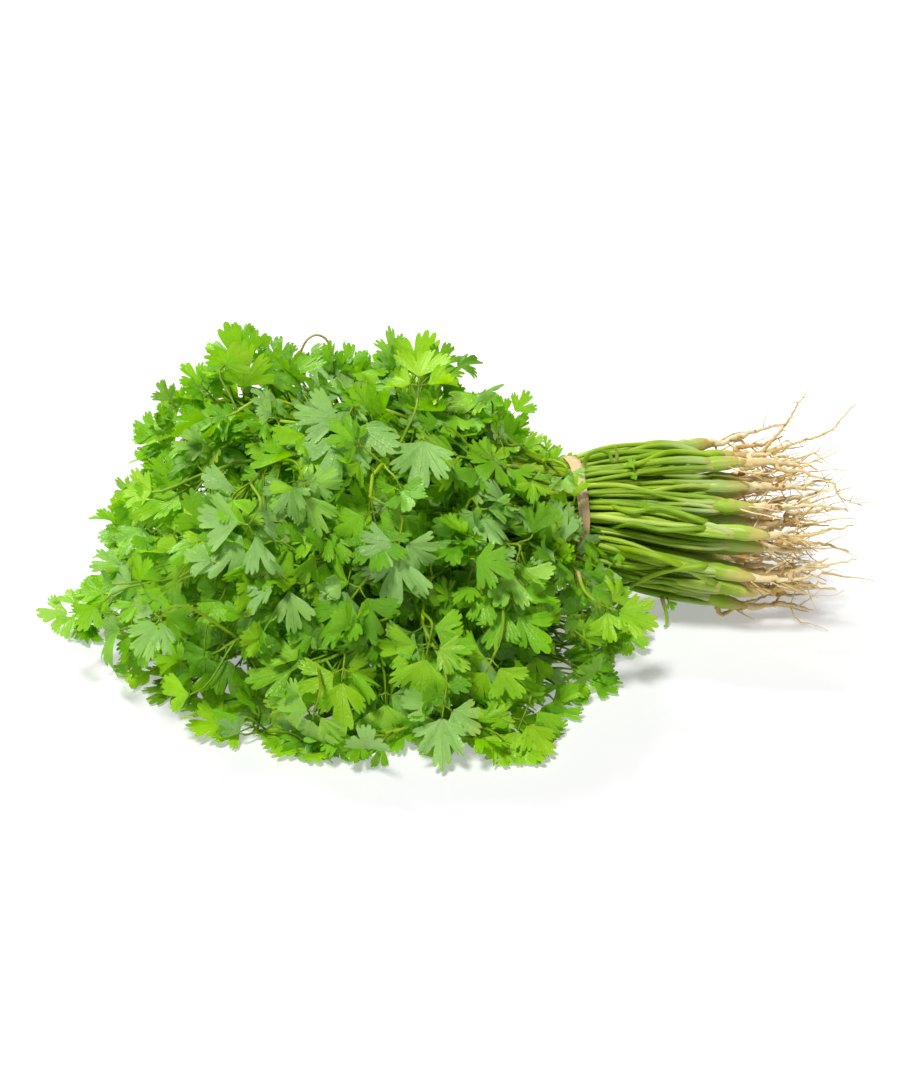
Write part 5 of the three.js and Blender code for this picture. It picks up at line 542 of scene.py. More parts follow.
# ---------------------------------------------------------------- materials
class Net:
    def __init__(self, name):
        self.mat = bpy.data.materials.new(name)
        self.mat.use_nodes = True
        self.nt = self.mat.node_tree
        self.nt.nodes.clear()
        self.out = self.nt.nodes.new("ShaderNodeOutputMaterial")

    def put(self, socket, v):
        if isinstance(v, bpy.types.NodeSocket):
            self.nt.links.new(v, socket)
        else:
            socket.default_value = v

    def add(self, kind, ins=None, **props):
        n = self.nt.nodes.new(kind)
        for k, v in props.items():
            setattr(n, k, v)
        for k, v in (ins or {}).items():
            self.put(n.inputs[k], v)
        return n

    def math(self, op, a, b=0.0, clamp=False):
        n = self.nt.nodes.new("ShaderNodeMath")
        n.operation, n.use_clamp = op, clamp
        self.put(n.inputs[0], a)
        self.put(n.inputs[1], b)
        return n.outputs[0]

    def mix(self, f, a, b, mode="MIX"):
        n = self.nt.nodes.new("ShaderNodeMix")
        n.data_type, n.blend_type = "RGBA", mode
        for i, v in ((0, f), (6, a), (7, b)):
            if not isinstance(v, bpy.types.NodeSocket) and i:
                v = (*v, 1)
            self.put(n.inputs[i], v)
        return n.outputs[2]

    def ramp(self, f, stops):
        n = self.nt.nodes.new("ShaderNodeValToRGB")
        e = n.color_ramp.elements
        while len(e) < len(stops):
            e.new(0.5)
        for k, (p, c) in enumerate(stops):
            e[k].position = p
            e[k].color = (*c, 1) if len(c) == 3 else c
        self.put(n.inputs[0], f)
        return n.outputs[0]

    def value(self, f, a, b, lo=0.0, hi=1.0):
        n = self.nt.nodes.new("ShaderNodeMapRange")
        self.put(n.inputs[0], f)
        for k, v in enumerate((a, b, lo, hi)):
            n.inputs[k + 1].default_value = v
        return n.outputs[0]

    def noise(self, vec, scale, detail=3.0, rough=0.55):
        n = self.add("ShaderNodeTexNoise", {"Scale": scale, "Detail": detail, "Roughness": rough})
        self.nt.links.new(vec, n.inputs["Vector"])
        return n.outputs[0]

    def data(self, name):
        n = self.add("ShaderNodeAttribute", attribute_name=name)
        s = self.add("ShaderNodeSeparateColor", {0: n.outputs["Color"]})
        return s.outputs[0], s.outputs[1], s.outputs[2], n.outputs["Alpha"]


def leaf_material():
    m = Net("leaf_green")
    co = m.add("ShaderNodeTexCoord").outputs["Object"]
    vein, row, rad, rnd = m.data("grow")
    tone, pale, r1, r2 = m.data("tone")
    back_side = m.add("ShaderNodeNewGeometry").outputs["Backfacing"]
    blotch = m.noise(co, 130.0, 3.0)
    grain = m.noise(co, 1400.0, 2.0)
    # the ramp follows each leaf's tone, which is random tone and also painted light: brighter for leaves set to face up
    # or back (painted top light and backlight), darker deep in the bunch (painted shade)
    t = m.math("ADD", tone, m.math("MULTIPLY", m.math("SUBTRACT", blotch, 0.5), 0.55))
    t = m.math("ADD", t, m.math("MULTIPLY", m.math("SUBTRACT", grain, 0.5), 0.16), True)
    col = m.ramp(t, [(0.0, (0.010, 0.078, 0.0)), (0.26, (0.040, 0.205, 0.0)), (0.50, (0.124, 0.425, 0.0)),
                     (0.74, (0.255, 0.595, 0.001)), (1.0, (0.43, 0.75, 0.001))])
    # painted sheen: leaves with a high pale value are mixed toward pale grey-green, mostly standing in for soft
    # reflection of the bright room on the leaf, partly the paler colour of leaf undersides
    painted_sheen = m.math("MULTIPLY", m.value(pale, 0.22, 0.9), m.value(blotch, 0.3, 0.7, 0.62, 1.0), True)
    col = m.mix(painted_sheen, col, (0.400, 0.600, 0.300))
    col = m.mix(m.math("MULTIPLY", back_side, 0.40), col, (0.22, 0.45, 0.035))
    line = m.math("POWER", vein, 7.0)
    line = m.math("MULTIPLY", line, m.value(rad, 0.95, 0.35, 0.08, 0.42), True)
    col = m.mix(line, col, (0.30, 0.56, 0.03))
    col = m.mix(m.value(row, 0.94, 1.0, 0.0, 0.25), col, (0.10, 0.26, 0.01))
    yellow = m.math("MULTIPLY", m.value(r1, 0.94, 1.0, 0.0, 0.5), m.value(row, 0.5, 1.0), True)
    col = m.mix(yellow, col, (0.46, 0.46, 0.06))
    net = m.add("ShaderNodeTexVoronoi", {"Vector": co, "Scale": 760.0}, feature="DISTANCE_TO_EDGE").outputs["Distance"]
    web = m.value(net, 0.0, 0.13, 1.0, 0.0)
    col = m.mix(m.math("MULTIPLY", web, 0.16), col, (0.34, 0.60, 0.02))
    height = m.math("ADD", m.math("MULTIPLY", m.noise(co, 380.0, 3.0), 0.9), m.math("MULTIPLY", grain, 0.25))
    height = m.math("SUBTRACT", height, m.math("MULTIPLY", m.math("POWER", vein, 4.0), 0.45))
    height = m.math("SUBTRACT", height, m.math("MULTIPLY", web, 0.16))
    bump = m.add("ShaderNodeBump", {"Strength": 0.7, "Distance": 0.0007, "Height": height})
    rough = m.value(grain, 0.3, 0.7, 0.27, 0.42)
    skin = m.add("ShaderNodeBsdfPrincipled", {"Base Color": col, "Roughness": rough, "Specular IOR Level": 0.44, "Specular Tint": (0.92, 1.0, 0.75, 1.0),
                                              "Normal": bump.outputs[0]})
    glow = m.mix(0.62, col, (0.42, 0.82, 0.003))
    thru = m.add("ShaderNodeBsdfTranslucent", {"Color": glow})
    both = m.add("ShaderNodeMixShader", {0: 0.36, 1: skin.outputs[0], 2: thru.outputs[0]})
    m.nt.links.new(both.outputs[0], m.out.inputs[0])
    return m.mat


def stem_material():
    m = Net("stem_green")
    co = m.add("ShaderNodeTexCoord").outputs["Object"]
    along, cx, cy, fat = m.data("grow")
    tone, r1, r2, small = m.data("tone")
    lines = m.add("ShaderNodeCombineXYZ", {0: m.math("MULTIPLY", cx, 5.5), 1: m.math("MULTIPLY", cy, 5.5), 2: m.math("ADD", m.math("MULTIPLY", along, 4.0), m.math("MULTIPLY", r1, 40.0))}).outputs[0]
    ridge = m.noise(lines, 1.6, 2.0, 0.5)
    blotch = m.noise(co, 90.0, 3.0)
    t = m.math("ADD", tone, m.math("MULTIPLY", m.math("SUBTRACT", ridge, 0.5), 0.7))
    t = m.math("ADD", t, m.math("MULTIPLY", m.math("SUBTRACT", blotch, 0.5), 0.35), True)
    col = m.ramp(t, [(0.0, (0.085, 0.205, 0.003)), (0.3, (0.205, 0.375, 0.005)), (0.6, (0.34, 0.52, 0.012)), (1.0, (0.52, 0.67, 0.10))])
    f = m.math("ADD", fat, m.math("MULTIPLY", m.math("SUBTRACT", ridge, 0.5), 0.5), True)
    f = m.math("MULTIPLY", m.value(f, 0.35, 1.05, 0.0, 0.9), m.value(r2, 0.25, 0.95, 0.12, 0.95), True)
    col = m.mix(f, col, (0.62, 0.72, 0.36))
    foot = m.value(along, 0.07, 0.0, 0.0, 0.85)
    ragged = m.math("ADD", along, m.math("MULTIPLY", m.math("SUBTRACT", m.noise(co, 170.0, 3.0), 0.5), 0.09))
    col = m.mix(m.value(ragged, 0.055, 0.015, 0.0, 0.92), col, (0.62, 0.50, 0.16))
    rust = m.math("MULTIPLY", foot, m.value(m.noise(co, 210.0, 3.0), 0.42, 0.62), True)
    col = m.mix(m.math("MULTIPLY", rust, m.value(r2, 0.2, 0.8), True), col, (0.42, 0.25, 0.035))
    height = m.math("ADD", m.math("MULTIPLY", ridge, 1.0), m.math("MULTIPLY", m.noise(co, 1500.0, 2.0), 0.12))
    bump = m.add("ShaderNodeBump", {"Strength": 0.6, "Distance": 0.0005, "Height": height})
    skin = m.add("ShaderNodeBsdfPrincipled", {"Base Color": col, "Roughness": m.value(ridge, 0.3, 0.7, 0.30, 0.48), "Specular IOR Level": 0.36, "Normal": bump.outputs[0]})
    thru = m.add("ShaderNodeBsdfTranslucent", {"Color": m.mix(0.4, col, (0.5, 0.7, 0.06))})
    both = m.add("ShaderNodeMixShader", {0: 0.16, 1: skin.outputs[0], 2: thru.outputs[0]})
    m.nt.links.new(both.outputs[0], m.out.inputs[0])
    return m.mat


def root_material():
    m = Net("root_tan")
    co = m.add("ShaderNodeTexCoord").outputs["Object"]
    along, cx, cy, part = m.data("grow")
    tone, r1, r2, fat = m.data("tone")
    blotch = m.noise(co, 110.0, 4.0, 0.6)
    grain = m.noise(co, 900.0, 3.0, 0.6)
    rings = m.add("ShaderNodeCombineXYZ", {0: m.math("MULTIPLY", cx, 0.8), 1: m.math("MULTIPLY", cy, 0.8), 2: m.math("ADD", m.math("MULTIPLY", along, 120.0), m.math("MULTIPLY", r1, 50.0))}).outputs[0]
    ring = m.noise(rings, 1.0, 2.0, 0.6)
    t = m.math("ADD", m.math("MULTIPLY", blotch, 0.7), m.math("MULTIPLY", tone, 0.45))
    t = m.math("ADD", t, m.math("MULTIPLY", m.math("SUBTRACT", grain, 0.5), 0.3), True)
    col = m.ramp(t, [(0.18, (0.34, 0.17, 0.035)), (0.36, (0.60, 0.40, 0.13)), (0.56, (0.78, 0.61, 0.29)), (0.85, (0.90, 0.80, 0.52))])
    col = m.mix(m.value(ring, 0.34, 0.22, 0.0, 0.5), col, (0.26, 0.13, 0.045))
    collar = m.math("MULTIPLY", m.value(along, 0.14, 0.02, 0.0, 1.0), m.value(blotch, 0.40, 0.60), True)
    col = m.mix(m.math("MULTIPLY", collar, m.value(r2, 0.0, 1.0, 0.25, 1.0), True), col, (0.44, 0.235, 0.035))
    spot = m.math("MULTIPLY", m.value(m.noise(co, 260.0, 2.0), 0.62, 0.68), m.value(r2, 0.35, 0.6), True)
    col = m.mix(spot, col, (0.33, 0.11, 0.028))
    height = m.math("ADD", m.math("MULTIPLY", ring, 0.8), m.math("MULTIPLY", grain, 0.5))
    bump = m.add("ShaderNodeBump", {"Strength": 0.7, "Distance": 0.0006, "Height": height})
    skin = m.add("ShaderNodeBsdfPrincipled", {"Base Color": col, "Roughness": m.value(grain, 0.3, 0.7, 0.55, 0.75), "Specular IOR Level": 0.35, "Normal": bump.outputs[0]})
    thru = m.add("ShaderNodeBsdfTranslucent", {"Color": m.mix(0.5, col, (0.8, 0.62, 0.36))})
    both = m.add("ShaderNodeMixShader", {0: 0.14, 1: skin.outputs[0], 2: thru.outputs[0]})
    m.nt.links.new(both.outputs[0], m.out.inputs[0])
    return m.mat


def tie_material():
    m = Net("tie_fibre")
    co = m.add("ShaderNodeTexCoord").outputs["Object"]
    along, cx, cy, part = m.data("grow")
    tone, r1, r2, fat = m.data("tone")
    streak = m.add("ShaderNodeCombineXYZ", {0: m.math("MULTIPLY", along, 3.0), 1: m.math("MULTIPLY", cx, 26.0), 2: m.math("ADD", m.math("MULTIPLY", cy, 4.0), m.math("MULTIPLY", r1, 30.0))}).outputs[0]
    fibre = m.noise(streak, 1.0, 3.0, 0.6)
    blotch = m.noise(co, 160.0, 3.0)
    t = m.math("ADD", m.math("MULTIPLY", fibre, 0.75), m.math("MULTIPLY", blotch, 0.35), True)
    col = m.ramp(t, [(0.22, (0.36, 0.20, 0.075)), (0.45, (0.58, 0.39, 0.20)), (0.62, (0.73, 0.52, 0.30)), (0.9, (0.84, 0.67, 0.44))])
    bump = m.add("ShaderNodeBump", {"Strength": 0.8, "Distance": 0.0005, "Height": fibre})
    skin = m.add("ShaderNodeBsdfPrincipled", {"Base Color": col, "Roughness": m.value(fibre, 0.3, 0.7, 0.48, 0.7), "Specular IOR Level": 0.4, "Normal": bump.outputs[0]})
    m.nt.links.new(skin.outputs[0], m.out.inputs[0])
    return m.mat


LEAF, STEM, ROOT, TIE = leaf_material(), stem_material(), root_material(), tie_material()


# ------------------------------------------------------------------- plants
tie_dots = [(k, j, np.array(s[2], float)) for k, p in enumerate(PLANTS) for j, s in enumerate(p[5])]
gaps = {}
rng = np.random.default_rng(77)
taken = [d[2][1:] for d in tie_dots]
for y in np.arange(-22, 22.1, 0.9):
    for z in np.arange(-22, 22.1, 0.9):
        c = np.array([y, z]) + rng.uniform(-.35, .35, 2)
        if np.hypot(*c) > 22.0:
            continue
        c = c + TIE_AT[1:]
        if min(np.hypot(*(c - q)) for q in taken) < 2.15:
            continue
        near = sorted(tie_dots, key=lambda d: np.hypot(*(d[2][1:] - c)))
        k, j, _ = next((d for d in near if len(gaps.get(d[0], [])) < 5), near[0])
        gaps.setdefault(k, []).append((j, c))
        taken.append(c)

waist = [(d[2][1:], 1.35) for d in tie_dots]
all_leaf, all_stem, all_root, tap, lines = [], [], [], [], []
for k, row in enumerate(PLANTS):
    name, crown, along, root, sides, stalks = row
    rng = np.random.default_rng(4100 + k)
    leaf, stem, roots = Piece(name + "_leaves"), Piece(name + "_stems"), Piece(name + "_root")
    leaf.leaflets = 0
    crown, along = np.array(crown, float), unit(along)
    root = np.array(root, float)

    # the crown, where the leaf sheaths clasp each other
    c = np.array([crown - along * 13, crown - along * 6, crown, crown + along * 6, crown + along * 12])
    c = spline(c, 13) + rng.normal(0, .12, (13, 3))
    tube(stem, c, np.array([0.7, 1.7, 2.2, 2.6, 2.9, 3.1, 3.2, 3.15, 3.0, 2.7, 2.3, 1.8, 1.1]) * (1 + rng.normal(0, .04, 13)), sides=12, tone=(0.5, rng.random(), rng.random(), 0),
         a=lambda s, w, t: np.stack([s / 100 * 0.5, (np.cos(w) + 1) / 2, (np.sin(w) + 1) / 2, np.full(len(s), 0.75)], 1))

    paths = []
    for j, st in enumerate(stalks):
        pts = stalk_path(st, rng, wobble=1.1)
        stalk(stem, pts, crown, rng, r_mid=rng.uniform(1.15, 1.5), r_end=0.72, sheath=rng.uniform(1.7, 2.5))
        paths.append(pts)
        base, ax, nrm, L, flat = np.array(st[4], float), unit(st[5]), unit(st[6]), float(st[7]), bool(st[8])
        L *= 1.0 - 0.42 * smooth(base[0], 5, 40)
        L = min(L, 35.0)
        if not flat:
            base, ax, L = tucked(base, ax, L, 9.0 if base[2] > 70 else 5.0)
        out = unit(base - head_core(base[0]))
        # painted light: a leaf that faces up, sits on the back side or at an end of the head gets a brighter tone,
        # standing in for top light and backlight; the rest is random tone
        lit_tone = float(np.clip(0.48 + 0.20 * out[2] + 0.22 * max(0, out[1]) + 0.2 * smooth(abs(out[0]), .5, 1) + rng.normal(0, .24), 0.06, 1))
        # pale: how far the leaf turns pale grey-green, painted sheen, chosen at random
        pale = float(np.clip(rng.choice([0.0, 0.1, 0.95], p=[.6, .22, .18]) + rng.normal(0, .08), 0, 1))
        compound(leaf, stem, base, ax, nrm, L, rng, tone=lit_tone, pale=pale, flat=flat, tame=0.4 if flat else 1.0, parts=5 if rng.random() < .6 and not flat else 3)
        if flat:
            continue
        s = np.r_[0, np.cumsum(np.linalg.norm(np.diff(pts, axis=0), axis=1))]
        for d, chance in ((rng.uniform(18, 28), 1.0), (rng.uniform(36, 50), 0.65)):
            if rng.random() > chance or s[-1] - d < 95:
                continue
            at = np.array([np.interp(s[-1] - d, s, pts[:, i]) for i in range(3)])
            ah = np.array([np.interp(s[-1] - d + 4, s, pts[:, i]) for i in range(3)])
            T = unit(ah - at)
            o = unit(at - head_core(at[0]))
            o = unit(across(o, T) + across(nrm, T) * 0.4)
            b = np.cross(T, o)
            for sgn in (-1, 1):
                w = math.radians(rng.uniform(42, 68))
                dd = unit(T * math.cos(w) + b * sgn * math.sin(w) + o * rng.normal(.28, .25))
                ln = rng.uniform(7, 14)
                q = at + dd * ln + o * rng.uniform(0, 3)
                q[2] = max(q[2], 2.5)
                thin_stalk(stem, at, T + dd * .6, q, dd, 0.62, 0.45, rng, (0.5, rng.random(), 0, 1), n=5, sides=4)
                q, dd, ll = tucked(q, dd, rng.uniform(18, 26) * (1.0 - 0.35 * smooth(at[0], 0, 30)))
                compound(leaf, stem, q, dd, unit(o + rng.normal(0, .35, 3)), ll, rng, tone=float(np.clip(lit_tone - rng.uniform(-.08, .2), .03, 1)), pale=pale * 0.8, r0=0.45)

    # younger stalks that fill the bunch between the others
    for j, c in gaps.get(k, []):
        st = stalks[j]
        tie = np.array([st[2][0], c[0], c[1]])
        o = tie - np.array(st[2], float)
        cur = [np.array(q, float) for q in st[3]]
        T = unit(cur[3] - cur[2])
        o_out = unit(cur[3] - head_core(cur[3][0]))
        E = -o_out * rng.uniform(1, 15) - T * rng.uniform(4, 34) + np.cross(T, o_out) * rng.normal(0, 13)
        new = [np.array(st[0], float) + rng.uniform(-1, 1, 3), np.array(st[1], float) + o * .8, tie,
               [cur[0] + o, cur[1] + o * 1.5 + E * .25, cur[2] + E * .8, cur[3] + E]]
        new[3] = [np.array([q[0], q[1], max(q[2], 3.0)]) for q in new[3]]
        pts = stalk_path(new, rng, wobble=2.0)
        stalk(stem, pts, crown, rng, r_mid=rng.uniform(0.95, 1.25), r_end=0.55, sheath=rng.uniform(1.3, 1.9))
        waist.append((c, 1.2))
        paths.append(pts)
        end = pts[-1]
        T = unit(pts[-1] - pts[-3])
        out = unit(end - head_core(end[0]))
        ax = unit(T * .7 + out * .45 + rng.normal(0, .3, 3))
        # painted light: a lower base than the outer leaves for painted shade inside the bunch, brighter when facing up
        # for painted top light, plus random tone
        lit_tone = float(np.clip(0.42 + 0.2 * out[2] + rng.normal(0, .17), 0.03, 0.95))
        end, ax, ll = tucked(end, ax, rng.uniform(21, 29) * (1.0 - 0.4 * smooth(end[0], 0, 35)))
        compound(leaf, stem, end, ax, unit(out + rng.normal(0, .35, 3)), ll, rng, tone=lit_tone,
                 pale=float(np.clip(rng.choice([0, .7], p=[.85, .15]), 0, 1)), r0=0.5)

    # taproot, its side roots and fine hair roots
    r0 = rng.uniform(2.0, 2.9)
    P = taproot(roots, root, along, r0, rng)
    for sd in sides:
        sd = np.array(sd, float)
        near = P[np.argmin(np.linalg.norm(P - sd[0], axis=1))]
        Q = spline(np.vstack([near, sd]), 16) + rng.normal(0, .35, (16, 3))
        Q[:, 2] = np.maximum(Q[:, 2], 1.0)
        tube(roots, Q, np.linspace(1.25, 0.28, 16) * (1 + rng.normal(0, .08, 16)), sides=7, tone=(rng.random(), rng.random(), rng.random(), 0))
        for _ in range(2):
            i = rng.integers(4, 15)
            rootlet(roots, Q[i], unit(rng.normal(0, 1, 3)) + (0.5, 0, 0), rng.uniform(7, 18), 0.26, 0.1, rng)
    for _ in range(int(rng.integers(3, 5))):
        i = int(rng.integers(2, 19))
        T = unit(P[min(i + 1, 21)] - P[i - 1])
        d = unit(across(rng.normal(0, 1, 3), T) * 0.8 + T * rng.uniform(.2, 1.2))
        rootlet(roots, P[i], d, rng.uniform(10, 34), rng.uniform(.3, .75), 0.13, rng, kink=rng.uniform(.15, .42), pull=(0.9, 0.1, 0.05))
    tap.append(P)
    lines.append(paths)
    all_leaf.append(leaf)
    all_stem.append(stem)
    all_root.append(roots)

# ------------------------------------------------------- single details
rng = np.random.default_rng(901)
cloud = np.vstack([resample(p, 120) for ps in lines for p in ps])
owner = np.concatenate([np.full(120, k) for k, ps in enumerate(lines) for p in ps])
tap_pts = np.vstack([resample(p, 40) for p in tap])
tap_own = np.repeat(np.arange(len(tap)), 40)


def long_root(pixels, r0, r1, kink=0.5):
    """A long root that leaves the taproot nearest to its first place."""
    px = seen(tap_pts)
    i = int(np.argmin(np.hypot(*(px - np.array(pixels[0])).T) + 0.25 * np.abs(tap_pts[:, 1] - 10)))
    y = tap_pts[i, 1]
    knots = [tap_pts[i]] + [on_plane(p[0], p[1], y - 1.5 * n) for n, p in enumerate(pixels[1:])]
    n = 10 + 8 * len(pixels)
    pts = spline(knots, n)
    pts = pts + np.cumsum(rng.normal(0, kink * .35, pts.shape), 0) * np.linspace(0, 1, n)[:, None] * .5 + rng.normal(0, kink * .25, pts.shape)
    pts[:, 2] = np.maximum(pts[:, 2], 1.0)
    piece = all_root[tap_own[i]]
    tube(piece, pts, np.linspace(r0, r1, n), sides=6, tone=(rng.random(), rng.random(), rng.random(), 0))
    for _ in range(len(pixels) + 2):
        q = int(rng.integers(n // 4, n - 2))
        rootlet(piece, pts[q], rng.normal(0, 1, 3) + (0.6, 0, 0), rng.uniform(3, 9), 0.22, 0.1, rng, kink=.5)


for px, r0, r1 in ((((762, 452), (785, 425), (797, 406), (808, 391)), 0.9, 0.22),
                   (((768, 456), (800, 441), (828, 431), (842, 416), (856, 400)), 0.9, 0.2),
                   (((800, 492), (815, 481), (833, 484), (839, 497), (862, 505)), 0.7, 0.22),
                   (((785, 530), (797, 533), (803, 545), (812, 553)), 0.55, 0.18),
                   (((770, 535), (788, 545), (796, 557), (808, 563)), 0.5, 0.18),
                   (((728, 592), (765, 590), (800, 589), (835, 588)), 0.8, 0.35),
                   (((700, 622), (722, 614), (745, 602), (775, 592)), 1.1, 0.3),
                   (((748, 594), (772, 577), (790, 564), (808, 562)), 0.5, 0.18),
                   (((755, 470), (790, 462), (815, 452), (820, 446)), 0.8, 0.2),
                   (((760, 500), (800, 505), (825, 498), (842, 492)), 0.9, 0.2)):
    long_root(px, r0, r1)


def own(p):
    return int(owner[np.argmin(np.linalg.norm(cloud - p, axis=1))])


def loose_stem(pixels, r0, r1, lift=1.6, tone=0.6, sink=True):
    """A stem that lies on the others, through places of the picture."""
    knots, last = [], None
    for p in pixels:
        q = touch(p[0], p[1], cloud, 2.6, lift, last)
        if q is None:
            continue
        last = float(np.linalg.norm(q - EYE))
        knots.append(q)
    if sink:
        along = unit(knots[-1] - knots[-2])
        knots[0] = knots[0] + unit(knots[0] - EYE) * 5
        knots.append(knots[-1] + unit(knots[-1] - EYE) * 8 + along * 3)
    pts = spline(knots, 8 * len(knots))
    pts[:, 2] = np.maximum(pts[:, 2], r0 + 0.3)
    tube(all_stem[own(pts[0])], pts, np.linspace(r0, r1, len(pts)), sides=8, tone=(tone, rng.random(), 0.2, 0),
         a=lambda s, w, t: np.stack([0.5 + s / 100, (np.cos(w) + 1) / 2, (np.sin(w) + 1) / 2, np.zeros(len(s))], 1))
    return pts


loose_stem([(606, 545), (640, 552), (675, 563), (712, 582)], 1.3, 1.5, tone=0.5)
loose_stem([(622, 590), (645, 578), (668, 570), (700, 566)], 1.1, 1.4, tone=0.55)
loose_stem([(600, 500), (630, 512), (660, 508), (700, 520)], 1.0, 1.3, tone=0.4)
loose_stem([(608, 470), (640, 463), (672, 452), (715, 455)], 1.1, 1.3, tone=0.55)
loose_stem([(604, 530), (632, 524), (664, 530), (700, 528)], 1.0, 1.2, tone=0.3)
k1 = touch(583, 468, cloud, 3, 0.5, 1000)
k4 = touch(612, 462, cloud, 3, 0.5, 1000)
y1 = float(k1[1] + k4[1]) / 2
arc = spline([k1, on_plane(588, 455, y1), on_plane(599, 450, y1), on_plane(609, 454, y1), k4], 22)
tube(all_stem[own(k1)], arc, np.linspace(1.0, 0.8, 22), sides=7, tone=(0.35, 0.3, 0.2, 0))
k5 = touch(617, 459, cloud, 3, 0.3, 1000)
tube(all_stem[own(k5)], spline([k5, on_plane(617, 452, k5[1]), on_plane(615, 446, k5[1])], 8), np.linspace(0.8, 0.5, 8), sides=6, tone=(0.4, 0.3, 0.2, 0))
# a thin tendril over the top of the leaves
yt = 47.0
arc = spline([on_plane(298, 376, yt), on_plane(301, 352, yt), on_plane(308, 339, yt), on_plane(318, 335, yt), on_plane(328, 342, yt), on_plane(334, 364, yt)], 26)
tube(all_stem[own(arc[0])], arc, np.linspace(0.55, 0.45, 26), sides=6, tone=(0.05, 0.9, 0.9, 0),
     a=lambda s, w, t: np.stack([0.02 + 0 * s, (np.cos(w) + 1) / 2, (np.sin(w) + 1) / 2, np.zeros(len(s))], 1))
# leaflets of the inner leaves, which close the leaf mass
outer = cloud[cloud[:, 0] < 38]
outer_own = owner[cloud[:, 0] < 38]
used = np.zeros(len(outer))


def twig(q, d, face, size, tone, pale, far=40, lobed=False):
    """A leaflet or small leaf at q on a thin stem from a stalk close to it."""
    e = np.linalg.norm(outer - (q - d * 6), axis=1)
    e = e + rng.uniform(0, 9, len(e)) + used * 9.0
    i = int(np.argmin(e))
    if e[i] > far:
        return
    used[np.linalg.norm(outer - outer[i], axis=1) < 7] += 1
    k = int(outer_own[i])
    t = unit(q - outer[i] + (0, 0, 2.0))
    if e[i] > 2.5:
        thin_stalk(all_stem[k], outer[i], t, q, d, 0.6, 0.42, rng, (0.3, rng.random(), 0.1, 1), n=6)
    if lobed:
        compound(all_leaf[k], all_stem[k], q, d, face, size * 1.5, rng, tone=tone, pale=pale, r0=0.42)
    else:
        leaflet(all_leaf[k], q, d, face, size, rng, tone=tone, pale=pale)


spots = [(np.array(st[4], float) + unit(st[5]) * st[7] * 0.5) for row in PLANTS for st in row[5] if st[4][0] < 30]
for c in spots:
    for _ in range(2):
        core = head_core(c[0])
        v = c - core
        q = core + v * rng.uniform(0.68, 0.97) + rng.normal(0, 11, 3) * (1, 1, 0.8)
        q[2] = max(q[2], 5.0)
        out = unit(q - head_core(q[0]))
        ax = unit(across(rng.normal(0, 1, 3) + np.array([-0.8, 0, 0]), out) + out * rng.uniform(0, .7))
        size = rng.uniform(10, 16.5)
        q, ax, size = tucked(q, ax, size)
        if not inside(q, 4):
            continue
        # tone is brighter for leaflets that face up: painted top light, plus random tone
        twig(q, ax, unit(out + rng.normal(0, .4, 3)), size, float(np.clip(0.46 + 0.22 * out[2] + rng.normal(0, .26), 0.03, 1)), float(np.clip(rng.choice([0, .9], p=[.84, .16]) + rng.normal(0, .08), 0, 1)))
edge = resample(np.c_[np.vstack([OUTLINE, OUTLINE[:1]]), np.zeros(len(OUTLINE) + 1)], 140)[:, :2]
for n, e in enumerate(edge):
    if e[0] > 575 and e[1] < 600:
        continue
    v = (e - MIDDLE) / np.hypot(*(e - MIDDLE))
    size = rng.uniform(11, 16)
    p = e - v * (size * 2.4 * 0.9)
    if p[1] > 640:
        d = ray(*p)
        q = EYE + d * (rng.uniform(4, 9) - EYE[2]) / d[2]
    else:
        q = on_plane(p[0], p[1], float(np.interp(p[1], [350, 450, 640], [46, 30, -30])))
    if q[2] < 3 or q[2] > 128:
        q[2] = float(np.clip(q[2], 3, 128))
    d = unit(SIDE * v[0] - UP * v[1] + rng.normal(0, .35, 3))
    face = unit(-FWD * 0.8 + np.array([0, 0, .5]) + rng.normal(0, .35, 3))
    # the outline leaves get a brighter tone: painted backlight on the rim of the leaf mass
    twig(q, d, face, size, float(np.clip(0.62 + rng.normal(0, .2), .1, 1)), float(rng.choice([0, .6], p=[.85, .15])), far=42, lobed=bool(n % 3 == 0))
# the front of the leaf mass, down to the table
for n in range(480):
    px, py = (rng.uniform(95, 625), rng.uniform(520, 755)) if n < 430 else (rng.uniform(480, 622), rng.uniform(610, 730))
    y = float(np.interp(py, [520, 640, 750], [-44, -66, -80])) + rng.uniform(-4, 26) + 26 * smooth(px, 520, 620)
    q = on_plane(px, py, y)
    if q[2] < 3.0:
        q = EYE + ray(px, py) * (rng.uniform(4, 16) - EYE[2]) / ray(px, py)[2]
    if not inside(q, 7) or abs(q[1]) > 104:
        continue
    out = unit(q - head_core(q[0]))
    ax = unit(across(rng.normal(0, 1, 3) + np.array([-0.3, -0.3, -0.7]), out) + out * rng.uniform(0, .5))
    size = rng.uniform(9.5, 15.5)
    q, ax, size = tucked(q, ax, size)
    face = unit(out * 0.6 - FWD * 0.5 + np.array([0, 0, .35]) + rng.normal(0, .42, 3))
    twig(q, ax, face, size, float(np.clip(0.50 + rng.normal(0, .28), 0.03, 1)), float(np.clip(rng.choice([0, .95], p=[.83, .17]) + rng.normal(0, .08), 0, 1)), far=46)

